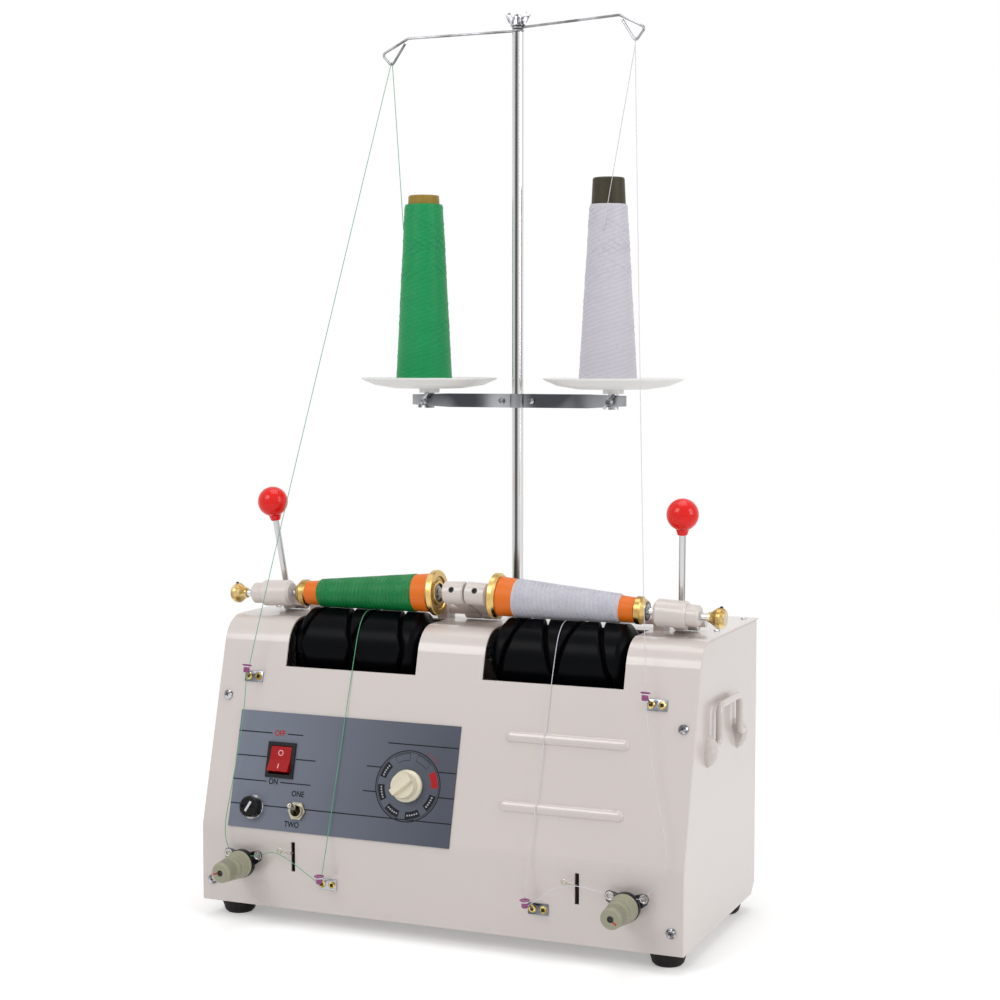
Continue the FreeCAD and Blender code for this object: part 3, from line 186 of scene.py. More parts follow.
def moulded(name, colour, gloss, grain=0.1, coat=0.0, spread=0.1, shine=0.5):
    # moulded plastic or rubber: a fine grain and faint flow marks
    shader = Shader(name)
    fine = shader.noise(shader.where(), 1100)
    broad = shader.noise(shader.where(), 45, 3.0)
    tone = shader.mix(broad, shade(colour, 1 - spread), shade(colour, 1 + spread))
    return shader.finish(colour=tone, roughness=broad * 0.14 + gloss, coat=coat, specular=shine,
                         normal=shader.bump(fine, grain, 0.0001))


def metal(name, colour, gloss, marks=0.08, drawn=(1, 1, 1), reflectionDark=None, patches=70):
    # bare or plated metal: fine marks, cloudy gloss, and darker patches of painted reflection, as if it
    # mirrored a room
    shader = Shader(name)
    stretched = shader.node("ShaderNodeMapping", {}, {"Vector": shader.where(), "Scale": drawn})
    lines = shader.noise(stretched, 1500)
    cloud = shader.noise(shader.where(), patches, 2.0)
    spread = shader.node("ShaderNodeValToRGB", {"stops": [(0.4, 0), (0.6, 1)]}, [cloud])
    tone = shader.mix(spread, reflectionDark or shade(colour, 0.7), colour)
    return shader.finish(colour=tone, metallic=1.0, roughness=cloud * 0.16 + gloss,
                         normal=shader.bump(lines, marks, 0.00006))


def plated(name, place, bright, dark, gloss=0.12, start=0.0):
    # a chromed rod along a place's Z: bright and dark streaks of painted reflection lie along it
    shader = Shader(name)
    across, back, _ = shader.along(place)
    turn = (across.math("ARCTAN2", back) / math.tau + start).math("FRACT")
    stops = [(0.0, 0.75), (0.1, 0.2), (0.18, 0.75), (0.22, 0.9), (0.34, 1), (0.42, 0.9), (0.455, 0.1),
             (0.5, 0.05), (0.535, 0.8), (0.62, 1), (0.8, 0.85), (1.0, 0.75)]
    streak = shader.node("ShaderNodeValToRGB", {"stops": stops}, [turn])
    haze = shader.noise(shader.where(), 60, 3.0)
    tone = shader.mix(streak, dark, bright)
    return shader.finish(colour=tone, metallic=1.0, roughness=haze * 0.12 + gloss)


flange = {"bearing": 0.008, "seal": 0.00576, "recessStart": 0.0102, "recessEnd": 0.0137, "rings": 9000}


def ringed(name, colour, place, innerColour, gloss=0.2):
    # a turned brass piece with a ball bearing in its middle: fine lathe rings about the axis, and painted
    # shade darkening the ring of its recess
    shader = Shader(name)
    _, across, up = shader.along(place)
    reach = (across * across + up * up).math("SQRT")
    rings = (reach * flange["rings"]).math("SINE")
    cloud = shader.noise(shader.where(), 80, 3.0)
    middle = reach < flange["bearing"]
    seal = (reach > flange["seal"]) * middle
    recess = (reach > flange["recessStart"]) * (reach < flange["recessEnd"])
    tone = shader.mix(cloud, shade(colour, 0.72), colour)
    tone = shader.mix(recess * 0.4, tone, rgb(120, 86, 40))
    tone = shader.mix(middle, tone, innerColour)
    tone = shader.mix(seal * 0.75, tone, rgb(38, 36, 36))
    return shader.finish(colour=tone, metallic=1.0, roughness=cloud * 0.14 + gloss,
                         normal=shader.bump(rings, 0.06, 0.00004))


def knurled(name, colour, place, low, high, count):
    # moulded plastic with a knurled band round a place's Z, with painted shade darkening the knurl's grooves
    shader = Shader(name)
    across, back, up = shader.along(place)
    band = (up > low) * (up < high)
    teeth = (across.math("ARCTAN2", back) * count).math("SINE")
    cross = (up * 5200).math("SINE")
    fine = shader.noise(shader.where(), 900)
    tone = shader.mix(teeth * 0.5 + 0.5, shade(colour, 0.62), colour)
    tone = shader.mix(band, colour, tone)
    return shader.finish(colour=tone, roughness=fine * 0.12 + 0.3,
                         normal=shader.bump(teeth * cross * band + fine * 0.2, 0.5, 0.0003))


def eyed(name, steel, bright):
    # the tension plates: dark steel, with a painted highlight as a bright ring round each eye and painted
    # shade as a dark disc inside it
    shader = Shader(name)
    across = shader.part(shader.where(), (1, 0, 0)).math("ABSOLUTE") - tension["across"]
    beside = across.math("ABSOLUTE") - tension["eyeAcross"]
    above = shader.part(shader.where(), (0, 0, 1)) - tension["eyeUp"]
    reach = (beside * beside + above * above).math("SQRT")
    eye = (reach < tension["eyeRing"]) * (reach > tension["eyeHole"])
    cloud = shader.noise(shader.where(), 130, 2.0)
    tone = shader.mix(cloud, shade(steel, 0.6), shade(steel, 1.5))
    tone = shader.mix(eye, tone, bright)
    tone = shader.mix(reach < tension["eyeHole"], tone, rgb(30, 28, 28))
    return shader.finish(colour=tone, metallic=1.0, roughness=cloud * 0.12 + 0.18)


def fitted(name, plate, plastic):
    # nickel fittings right of the fuse, whose cap is moulded
    shader = Shader(name)
    fuseEnd = -0.145
    bright = shader.part(shader.where(), (1, 0, 0)) > fuseEnd
    cloud = shader.noise(shader.where(), 160, 2.0)
    tone = shader.mix(cloud, shade(plate, 0.6), plate)
    tone = shader.mix(bright, plastic, tone)
    return shader.finish(colour=tone, metallic=bright, roughness=cloud * 0.14 + 0.2, specular=0.15,
                         normal=shader.bump(cloud, 0.04, 0.0002))


def wound(name, colour, place, lay, slant, deep=0.5, bright=1.15, turned=False):
    # thread under the top strands: crossing lays about a place's Z, or its X if turned, and fibre; painted
    # shade darkens the lays' hollows and painted highlight lightens their crests
    shader = Shader(name)
    first, second, third = shader.along(place)
    across, back, up = (second, third, first) if turned else (first, second, third)
    turn = across.math("ARCTAN2", back)
    stray = shader.noise(shader.where(), 60, 3.0)
    fibre = shader.noise(shader.where(), 2800, 3.0)
    ridges = []
    for count, hand, size in ((lay, slant, 1.0), (lay, -slant, 0.93), (lay * 0.31, slant * 0.3, 0.7)):
        wave = (up * (count * size * math.tau) + turn * round(hand) + stray * 5).math("SINE")
        ridges.append(wave)
    ridge = ridges[0].math("MAXIMUM", ridges[1]) * 0.35 + ridges[2] * 0.22 + 0.45
    tone = shader.mix(ridge, shade(colour, deep), shade(colour, bright))
    tone = shader.mix(fibre * 0.4, tone, shade(colour, 0.75))
    return shader.finish(colour=tone, roughness=fibre * 0.2 + 0.4, specular=0.3, coat=0.1,
                         coatRoughness=0.28, normal=shader.bump(ridge + fibre * 0.3, 0.5, 0.0003))


def strand(name, colour):
    # one twisted thread: fine plies across its run, a little lustre
    shader = Shader(name)
    ply = shader.noise(shader.where(), 3200, 2.0)
    tint = shader.noise(shader.where(), 160, 2.0)
    tone = shader.mix(tint, shade(colour, 0.8), shade(colour, 1.18))
    return shader.finish(colour=tone, roughness=ply * 0.2 + 0.3, specular=0.45,
                         normal=shader.bump(ply, 0.4, 0.0001))


def tubePlastic(name, leftColour, rightColour):
    # the two supply tubes: an ochre one on the left and a dark one on the right, both scuffed
    shader = Shader(name)
    scuff = shader.noise(shader.where(), 220, 4.0)
    rightSide = shader.part(shader.where(), (1, 0, 0)) > 0
    tone = shader.mix(rightSide, leftColour, rightColour)
    worn = shader.mix(scuff * 0.35, tone, shade(leftColour, 0.4))
    return shader.finish(colour=worn, roughness=scuff * 0.2 + 0.35, specular=0.25,
                         normal=shader.bump(scuff, 0.15, 0.0002))


def platePaint(name, first, last):
    # the control panel's satin paint, with painted shade making it a little darker towards its right end
    shader = Shader(name)
    leftEnd, long = -0.185, 0.2
    share = (shader.part(shader.where(), (1, 0, 0)) - leftEnd) / long
    broad = shader.noise(shader.where(), 30, 3.0)
    tone = shader.mix((share + broad * 0.1).math("MINIMUM", 1.0).math("MAXIMUM", 0.0), first, last)
    return shader.finish(colour=tone, roughness=broad * 0.12 + 0.4, specular=0.4,
                         normal=shader.bump(shader.noise(shader.where(), 900), 0.05, 0.0001))


def dressed(material, *names):
    # the CAD pieces that keep their shape get a finish
    for name in names:
        for slot in nodes[name].material_slots:
            slot.material = material


def onTension(hand):
    # the place of a tension unit, right or left
    return lipPlace @ Matrix.Translation((hand * tension["across"], tension["up"], 0))


enamel = rgb(209, 200, 196)


def dressBody():
    body = paint("bodyEnamel", enamel)
    cradle = paint("cradleEnamel", rgb(214, 205, 200), peel=0.25, gloss=0.3)
    dressed(body, "front_cover", "side_panels", "back_panel", "base_tray", "handle_left", "handle_right")
    dressed(cradle, "cradle_left", "cradle_right", "pillow_blocks")
    dressed(moulded("footRubber", rgb(34, 32, 32), 0.55, 0.25, shine=0.2), "feet", "drive_belt",
            "cord_gland")
    dressed(metal("screwChrome", rgb(196, 196, 200), 0.12, reflectionDark=rgb(96, 96, 100), patches=260),
            "cover_screws", "stand_fasteners", "tray_posts")
    dressed(plated("rodChrome", standPlace, rgb(220, 220, 220), rgb(58, 56, 54)), "stand_rod")
    zinc = metal("barZinc", rgb(176, 178, 182), 0.24, drawn=(0.03, 1, 1), reflectionDark=rgb(70, 71, 76), patches=14)
    dressed(zinc, "stand_bar")
    dressed(metal("wireSteel", rgb(176, 176, 180), 0.2, reflectionDark=rgb(116, 116, 118), patches=40),
            "eyelet_wires")
    dressed(metal("dropWire", rgb(190, 184, 172), 0.2), "drop_wire_left", "drop_wire_right")
    dressed(metal("groundSteel", rgb(176, 177, 180), 0.2, drawn=(0.03, 1, 1)), "drum_shaft",
            "driven_pulley", "motor_pulley", "inner_brackets")
    dressed(paint("motorEnamel", rgb(58, 60, 64)), "motor")


def dressSmallPieces():
    dressed(moulded("blackPlastic", rgb(26, 25, 27), 0.3, shine=0.2), "rocker_housing")
    dressed(fitted("panelFittings", rgb(196, 190, 170), rgb(22, 21, 23)), "panel_fittings")
    dressed(metal("switchNickel", rgb(222, 220, 214), 0.16, reflectionDark=rgb(150, 144, 132), patches=220),
            "toggle_lever")
    dressed(moulded("ivoryPlastic", rgb(222, 214, 190), 0.3, coat=0.2, spread=0.03), "speed_knob")
    dressed(moulded("whiteTray", rgb(238, 238, 236), 0.38, spread=0.02), "trays")
    dressed(moulded("redBall", rgb(228, 16, 8), 0.12, grain=0.0, spread=0.03, shine=0.35),
            "lever_ball_left", "lever_ball_right")
    dressed(moulded("orangeCone", rgb(228, 112, 20), 0.36, spread=0.05, shine=0.35),
            "yarn_cone_left", "yarn_cone_right")
    dressed(tubePlastic("tubePlastic", rgb(158, 130, 54), rgb(42, 42, 37)), "supply_tubes")
    dressed(eyed("tensionSteel", rgb(84, 84, 88), rgb(190, 188, 184)), "tension_plates")
    dressed(moulded("tensionPlastic", rgb(148, 146, 124), 0.3, coat=0.2), "tension_housings")
    for side, place, hand in (("right", headPlace, 1), ("left", otherSide @ headPlace, -1)):
        brass = ringed(f"brass_{side}", rgb(230, 196, 124), place, rgb(170, 170, 172))
        dressed(brass, f"live_flange_{side}", f"small_centre_{side}")
        along = place @ Matrix.Rotation(math.radians(90), 4, "Y")
        dressed(plated(f"spindleChrome_{side}", along, rgb(220, 220, 222), rgb(58, 56, 56), start=0.3),
                f"spindle_{side}")
        lever = otherSide @ leverPlace if hand < 0 else leverPlace
        dressed(plated(f"leverChrome_{side}", lever, rgb(206, 206, 208), rgb(104, 102, 100), start=0.2),
                f"lever_rod_{side}")
        dressed(knurled(f"tensionKnob_{side}", rgb(150, 148, 126), onTension(hand), 0.033, 0.0415, 46),
                f"tension_knob_{side}")
    dressed(metal("knobBrass", rgb(230, 208, 152), 0.2, reflectionDark=rgb(170, 138, 78), patches=150),
            "spindle_knob_left", "spindle_knob_right")
    dressed(platePaint("faceplatePaint", rgb(117, 123, 138), rgb(66, 71, 84)), "faceplate")
    dressed(moulded("rockerRed", rgb(158, 2, 12), 0.2, grain=0.0, shine=0.2), "rocker_button")


dressBody()
dressSmallPieces()
print("finishes made")


def pickNothing():
    bpy.ops.object.select_all(action="DESELECT")


def pickOnly(piece):
    pickNothing()
    piece.select_set(True)
    bpy.context.view_layer.objects.active = piece


def editing(on):
    bpy.ops.object.mode_set(mode="EDIT" if on else "OBJECT")


def settle(piece, name, place, finish, body, angle=30):
    # names a piece, sets its place in its mesh, and gives it its finish and its body
    piece.name = name
    piece.data.name = name
    piece.data.transform(place @ piece.matrix_world)
    piece.matrix_world = Matrix.Identity(4)
    if place.determinant() < 0:
        piece.data.flip_normals()
    pickOnly(piece)
    bpy.ops.object.shade_smooth_by_angle(angle=math.radians(angle))
    piece.data.materials.clear()
    piece.data.materials.append(finish)
    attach(piece, body)
    return piece


def pickAll():
    bpy.ops.mesh.select_all(action="SELECT")


def closeShape():
    # merges what a spin leaves double, turns the faces outwards and leaves edit mode
    pickAll()
    bpy.ops.mesh.remove_doubles(threshold=0.000001)
    bpy.ops.mesh.normals_make_consistent(inside=False)
    editing(False)


def turnedPiece(profile, steps=96):
    # profile: (along X, radius) pairs, turned about X; the last point meets the axis or the first one
    pickNothing()
    bpy.ops.mesh.primitive_plane_add(size=0.001)
    piece = bpy.context.object
    editing(True)
    pickAll()
    bpy.ops.mesh.merge(type="CENTER")
    spots = [Vector((along, 0, radius)) for along, radius in profile]
    bpy.ops.transform.translate(value=spots[0])
    for before, after in zip(spots, spots[1:]):
        bpy.ops.mesh.extrude_region_move(TRANSFORM_OT_translate={"value": after - before})
    pickAll()
    bpy.ops.mesh.spin(steps=steps, angle=math.tau, center=(0, 0, 0), axis=(1, 0, 0))
    closeShape()
    return piece


def bar(low, high, bevel=0.0002):
    # a bar between two corners, with eased edges
    pickNothing()
    middle = [(start + end) / 2 for start, end in zip(low, high)]
    bpy.ops.mesh.primitive_cube_add(size=1, location=middle)
    piece = bpy.context.object
    piece.scale = [end - start for start, end in zip(low, high)]
    bpy.ops.object.transform_apply(location=True, rotation=True, scale=True)
    ease = piece.modifiers.new("ease", "BEVEL")
    ease.width = bevel
    ease.segments = 2
    bpy.ops.object.modifier_apply(modifier=ease.name)
    return piece


def joined(pieces):
    pickNothing()
    for piece in pieces:
        piece.select_set(True)
    bpy.context.view_layer.objects.active = pieces[0]
    bpy.ops.object.join()
    return bpy.context.object


def lettering(text, size, thick):
    # flat lettering made a mesh, lying in XY and standing up a little
    pickNothing()
    bpy.ops.object.text_add(location=(0, 0, 0))
    piece = bpy.context.object
    piece.data.body = text
    piece.data.size = size
    piece.data.align_x = "CENTER"
    piece.data.align_y = "CENTER"
    piece.data.extrude = thick / 2
    piece.data.offset = size * 0.022
    piece.data.resolution_u = 4
    piece.select_set(True)
    bpy.ops.object.convert(target="MESH")
    piece = bpy.context.object
    bpy.ops.object.transform_apply(location=True, rotation=True, scale=True)
    return piece


def arc(radius, width, start, sweep, thick=0.00012, steps=None):
    # a flat band round the origin in XY; its start and its sweep are in hours of a clock
    steps = steps or max(int(sweep * 8), 4)
    hour = math.radians(30)
    pickNothing()
    bpy.ops.mesh.primitive_cube_add(size=1, location=(0, radius, 0))
    piece = bpy.context.object
    piece.scale = (0.00001, width, thick)
    bpy.ops.object.transform_apply(location=True, rotation=True, scale=True)
    editing(True)
    pickAll()
    bpy.ops.mesh.delete(type="ONLY_FACE")
    pickAll()
    bpy.ops.mesh.remove_doubles(threshold=0.00002)
    pickAll()
    bpy.ops.mesh.edge_face_add()
    bpy.ops.transform.rotate(value=start * hour, orient_axis="Z", center_override=(0, 0, 0))
    bpy.ops.mesh.spin(steps=steps, angle=sweep * hour, center=(0, 0, 0), axis=(0, 0, 1))
    closeShape()
    return piece


# each thread runs from its supply cone by eyelet wire, guides, tension unit and drop wire to the drum
threadSize = {"diameter": 0.0006, "rightLength": 1.207, "leftLength": 1.186, "smoothness": 12}
threadRight = [(0.083, 0.0675, 0.574), (0.1168, 0.0534, 0.7291), (0.1165, 0.0521, 0.7298),
               (0.1162, 0.0508, 0.7291), (0.1719, -0.081, 0.2082), (0.1775, -0.0872, 0.175),
               (0.1835, -0.093, 0.146), (0.191, -0.0994, 0.121), (0.197, -0.1046, 0.102),
               (0.198, -0.1074, 0.086), (0.192, -0.1072, 0.07), (0.1822, -0.1054, 0.06),
               (0.1793, -0.1114, 0.058), (0.1552, -0.1114, 0.058), (0.1526, -0.1057, 0.058),
               (0.1167, -0.1124, 0.0659), (0.0871, -0.1154, 0.0429), (0.0857, -0.1154, 0.043),
               (0.0847, -0.1152, 0.0441), (0.0897, -0.0677, 0.2095), (0.0899, -0.0506, 0.2567),
               (0.09, -0.0354, 0.2567)]
threadLeft = [(-0.1104, 0.0835, 0.58), (-0.1201, 0.0825, 0.7265), (-0.1201, 0.0812, 0.7272),
              (-0.1201, 0.0798, 0.7265), (-0.1783, -0.081, 0.2082), (-0.1772, -0.0868, 0.178),
              (-0.1782, -0.0926, 0.151), (-0.1805, -0.0984, 0.125), (-0.183, -0.1032, 0.102),
              (-0.1853, -0.1068, 0.082), (-0.1849, -0.107, 0.069), (-0.182, -0.1054, 0.06),
              (-0.1793, -0.1114, 0.058), (-0.1552, -0.1114, 0.058), (-0.1526, -0.1057, 0.058),
              (-0.1319, -0.1138, 0.0659), (-0.0935, -0.1154, 0.0429), (-0.0921, -0.1154, 0.043),
              (-0.0911, -0.1152, 0.0441), (-0.0865, -0.0677, 0.2095), (-0.0863, -0.0506, 0.2567),
              (-0.0862, -0.0354, 0.2567)]
threadGreen = rgb(0, 150, 84)
threadWhite = rgb(214, 210, 220)


def thread(name, points, finish):
    # one thread on a smooth line from the supply cone, through its guides, to the drum
    curve = bpy.data.curves.new(name, "CURVE")
    curve.dimensions = "3D"
    spline = curve.splines.new("NURBS")
    spline.points.add(len(points) - 1)
    for spot, point in zip(spline.points, points):
        spot.co = (*point, 1)
    spline.order_u = 3
    spline.use_endpoint_u = True
    spline.resolution_u = threadSize["smoothness"]
    curve.bevel_depth = threadSize["diameter"] / 2
    curve.bevel_resolution = 1
    curve.use_fill_caps = True
    curve.materials.append(finish)
    piece = bpy.data.objects.new(name, curve)
    bpy.context.scene.collection.objects.link(piece)
    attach(piece, "base")
    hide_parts(name.replace("Line", ""))


greenThread = strand("greenThread", rgb(84, 166, 122))
whiteThread = strand("whiteThread", threadWhite)
thread("thread_rightLine", threadRight, whiteThread)
thread("thread_leftLine", threadLeft, greenThread)
print("threads made")

# shifts move a drum's grooves along it, and turns are parts of a whole turn
drum = {"radius": 0.030, "start": 0.0315, "length": 0.116, "chamfer": 0.008, "shoulder": 0.004, "hub": 0.009,
        "rim": 0.019, "recess": 0.012, "bore": 0.006, "easeAlong": 0.0004, "easeIn": 0.0006,
        "grooveTurns": 2, "grooveMargin": 0.0105, "grooveWidth": 0.0056, "grooveDepth": 0.0046,
        "grooveFlat": 0.62, "rings": 150, "steps": 260, "rightShift": -0.0023, "rightTurn": 0.665,
        "leftShift": 0.0034, "leftTurn": 0.76}


def grooveDepth(along, angle):
    # depth of the crossing grooves at a place on the drum; each hand turns at its ends into the other
    reach = drum["length"] - 2 * drum["grooveMargin"]
    share = (along - drum["start"] - drum["grooveMargin"]) / reach
    inside = min(max(share, 0), 1)
    past = abs(share - inside) * reach
    lead = math.atan2(reach / drum["grooveTurns"], math.tau * drum["radius"])
    depth = 0
    for hand in (1, -1):
        turn = hand * inside * drum["grooveTurns"] * math.tau
        gap = (angle - turn + math.pi) % math.tau - math.pi
        across = math.hypot(gap * drum["radius"] * math.sin(lead) * 2, past * 2) / drum["grooveWidth"]
        if across < 1:
            depth = max(depth, min(drum["grooveFlat"] * (1 + math.cos(math.pi * across)), 1))
    return depth * drum["grooveDepth"]


def makeDrum(side, place, finish):
    shift, twist = drum[f"{side}Shift"], drum[f"{side}Turn"] * math.tau
    start, end = drum["start"], drum["start"] + drum["length"]
    radius, bore, hub, rim = drum["radius"], drum["bore"], drum["hub"], drum["rim"]
    edge, shoulder, recess = radius - drum["chamfer"], drum["shoulder"], drum["recess"]
    bevel, ease = drum["easeAlong"], edge - drum["easeIn"]
    low, high = start + drum["chamfer"], end - drum["chamfer"]
    run = [(low + (high - low) * index / drum["rings"], radius) for index in range(drum["rings"] + 1)]
    profile = [(start, bore), (start, hub), (start + recess, hub), (start + recess, rim), (start, rim),
               (start, ease), (start + bevel, edge), (low - shoulder, radius - shoulder), *run,
               (high + shoulder, radius - shoulder), (end - bevel, edge), (end, ease), (end, rim),
               (end - recess, rim), (end - recess, hub), (end, hub), (end, bore), (start, bore)]
    piece = turnedPiece(profile, steps=drum["steps"])
    depths = [0.0] * len(piece.data.vertices)
    for vertex in piece.data.vertices:
        along, across, up = vertex.co
        reach = math.hypot(across, up)
        if reach > edge:
            deep = grooveDepth(along - shift, math.atan2(across, up) - twist)
            sunk = (reach - deep) / reach
            vertex.co = (along, across * sunk, up * sunk)
            depths[vertex.index] = deep / drum["grooveDepth"]
    mark = piece.data.attributes.new("groove", "FLOAT", "POINT")
    mark.data.foreach_set("value", depths)
    settle(piece, f"grooved_drum_{side}", place, finish, "drum_shaft_assembly", angle=50)
    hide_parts(f"drum_{side}")


def bakelite(name, colour):
    # black moulded drum, satin on top and dull in its grooves, with painted shade darkening the grooves
    shader = Shader(name)
    groove = shader.node("ShaderNodeAttribute", {"attribute_name": "groove"}, output="Fac")
    broad = shader.noise(shader.where(), 45, 3.0)
    tone = shader.mix(broad, shade(colour, 0.85), shade(colour, 1.2))
    tone = shader.mix((groove * 1.6).math("MINIMUM", 1.0), tone, rgb(2, 2, 3))
    return shader.finish(colour=tone, roughness=broad * 0.08 + groove * 0.5 + 0.26, specular=0.05,
                         normal=shader.bump(shader.noise(shader.where(), 1100), 0.03, 0.0001))


drumFinish = bakelite("drumBakelite", rgb(6, 7, 10))
makeDrum("right", drumPlace, drumFinish)
makeDrum("left", otherSide @ drumPlace, drumFinish)
print("drums made")

# a guide's own X lies along the machine and its Z stands out; profiles are (radius, height) pairs
guide = {"long": 0.017, "tall": 0.009, "foot": 0.00005, "thick": 0.0012, "bevel": 0.0004, "screw": 0.0046,
         "stand": 0.014, "stem": 0.0009, "stemFoot": 0.0008, "stemShort": 0.0025,
         "upperAcross": 0.1778, "upperUp": 0.126, "lowerAcross": 0.0924, "lowerUp": 0.025,
         "rightShift": 0.0059, "leftShift": 0.0005, "upperLift": 0.005, "lowerLift": 0.0072,
         "screwHead": [(0, 0.001), (0.0031, 0.001), (0.0031, 0.0018), (0.0023, 0.0025), (0.0016, 0.0025),
                       (0.0013, 0.0014), (0, 0.0014)],
         "screwRecess": [(0, 0.0013), (0.0014, 0.0013), (0.0014, 0.0016), (0, 0.0016)],
         "eye": [(0.0017, -0.0029), (0.0021, -0.0033), (0.0023, -0.0033), (0.0027, -0.0021),
                 (0.0026, 0.000792), (0.0022, 0.00132), (0.0023, 0.00198), (0.0041, 0.002376),
                 (0.0041, 0.002904), (0.0036, 0.0033), (0.0022, 0.0033), (0.0017, 0.0028),
                 (0.0017, -0.0029)],
         "band": [(0.0024, 0.00066), (0.0031, 0.000924), (0.0031, 0.001782), (0.0024, 0.002046),
                  (0.0024, 0.00066)]}


def standing(profile, steps=48):
    # a turned piece about Z, from (radius, height) pairs
    piece = turnedPiece([(height, radius) for radius, height in profile], steps)
    piece.data.transform(Matrix.Rotation(math.radians(-90), 4, "Y"))
    return piece


def pin(start, end, radius):
    # a short round pin between two points, its ends eased
    run = Vector(end) - Vector(start)
    long, ease = run.length, radius * 0.25
    piece = turnedPiece([(0, 0), (0, radius - ease), (ease, radius), (long - ease, radius),
                         (long, radius - ease), (long, 0)], 24)
    piece.data.transform(Matrix.Translation(start) @ run.to_track_quat("X", "Z").to_matrix().to_4x4())
    return piece


def makeGuide(side, level, place):
    # one guide's pieces by kind, each kind with its own finish
    half = (guide["long"] / 2, guide["tall"] / 2)
    plate = bar((-half[0], -half[1], guide["foot"]), (*half, guide["thick"]), guide["bevel"])
    kinds = {"plates": [plate], "screws": [], "recesses": [], "eyes": [], "highlightBands": [], "stems": []}
    for across in (guide["screw"], -guide["screw"]):
        for kind, profile in (("screws", "screwHead"), ("recesses", "screwRecess")):
            piece = standing(guide[profile])
            piece.data.transform(Matrix.Translation((across, 0, 0)))
            kinds[kind].append(piece)
    spot = Vector((-guide[f"{side}Shift"], guide[f"{level}Lift"], guide["stand"]))
    for kind, profile in (("eyes", "eye"), ("highlightBands", "band")):
        piece = standing(guide[profile])
        piece.data.transform(Matrix.Translation(spot) @ Matrix.Rotation(math.radians(-90), 4, "X"))
        kinds[kind].append(piece)
    start, end = (-guide["screw"], 0, guide["stemFoot"]), spot - Vector((0, 0, guide["stemShort"]))
    kinds["stems"].append(pin(start, end, guide["stem"]))
    for pieces in kinds.values():
        for piece in pieces:
            piece.data.transform(place)
    return kinds


def makeGuides():
    finishes = {
        "plates": metal("guideSteel", rgb(176, 180, 188), 0.16, reflectionDark=rgb(52, 58, 64), patches=34),
        "screws": metal("guideBrass", rgb(222, 200, 128), 0.16, reflectionDark=rgb(150, 124, 58), patches=300),
        "recesses": moulded("recessShade", rgb(30, 26, 14), 0.5),
        "eyes": moulded("purpleCeramic", rgb(136, 52, 112), 0.14, grain=0.0, coat=0.4),
        # the white bands round the eyelets' waists are a painted highlight
        "highlightBands": moulded("highlightBand", rgb(226, 216, 226), 0.14, grain=0.0, coat=0.4),
        "stems": metal("stemSteel", rgb(170, 170, 174), 0.2)}
    made = []
    for side, sign in (("right", 1), ("left", -1)):
        for level, face in (("upper", panelPlace), ("lower", lipPlace)):
            across, up = sign * guide[f"{level}Across"], guide[f"{level}Up"]
            made.append(makeGuide(side, level, face @ Matrix.Translation((across, up, 0))))
    for kind, finish in finishes.items():
        pieces = [piece for kinds in made for piece in kinds[kind]]
        piece = settle(joined(pieces), f"guide_{kind}", Matrix.Identity(4), finish, "base")
        if kind == "plates":
            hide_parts("thread_guides")


makeGuides()
print("thread guides made")

# pressed ribs, screw crosses, and the parts of the fuse and of the rocker's marks
fitting = {"ribStart": 0.0550, "ribEnd": 0.1587, "ribUps": (0.0388, 0.0933), "ribHalf": 0.0044,
           "ribFlat": 0.48, "ribStep": 15, "screwAcross": 0.2005, "screwUp": 0.109, "screwLow": 0.018,
           "crossTurns": (20, 110), "crossLow": (-0.0019, -0.0004, 0.0024),
           "crossHigh": (0.0019, 0.0004, 0.00272), "fuse": (-0.164, 0.018, 0), "slotTurn": 62,
           "slotLow": (-0.0046, -0.001, 0.0091), "slotHigh": (0.0046, 0.001, 0.0098),
           "fuseRim": [(0.0086, 0.00105), (0.0099, 0.00105), (0.0099, 0.0015), (0.0094, 0.0019),
                       (0.0086, 0.0019), (0.0086, 0.00105)],
           "rocker": (-0.1426, 0.0583, 0), "circle": 0.0021, "circleWidth": 0.0006,
           "circlePlace": (0, 0.0058, 0.00305), "circleTilt": -4.1, "dash": (0.0004, 0.0021),
           "dashPlace": (0, -0.0052, 0.00542), "dashTilt": -20.9}


def makeRibs():
    ribs = []
    half, run = fitting["ribHalf"], fitting["ribEnd"] - fitting["ribStart"]
    turns = [math.radians(step) for step in range(0, 91, fitting["ribStep"])]
    ends = [(half * (1 - math.cos(turn)), half * math.sin(turn)) for turn in turns]
    for up in fitting["ribUps"]:
        rib = turnedPiece(ends + [(run - along, radius) for along, radius in reversed(ends)], 48)
        rib.data.transform(Matrix.Translation((fitting["ribStart"], up, 0))
                           @ Matrix.Diagonal((1, 1, fitting["ribFlat"], 1)))
        ribs.append(rib)
    settle(joined(ribs), "pressed_ribs", panelPlace, paint("ribEnamel", enamel, gloss=0.16), "base",
           angle=60)


def makeCrosses(dark):
    # dark bars of painted shade stand for the cover screws' cross recesses
    crosses = []
    for face, up in ((panelPlace, fitting["screwUp"]), (lipPlace, fitting["screwLow"])):
        for across in (fitting["screwAcross"], -fitting["screwAcross"]):
            for turn in fitting["crossTurns"]:
                arm = bar(fitting["crossLow"], fitting["crossHigh"], 0.0001)
                arm.data.transform(face @ Matrix.Translation((across, up, 0))
                                   @ Matrix.Rotation(math.radians(turn), 4, "Z"))
                crosses.append(arm)
    settle(joined(crosses), "screw_crosses", Matrix.Identity(4), dark, "base")


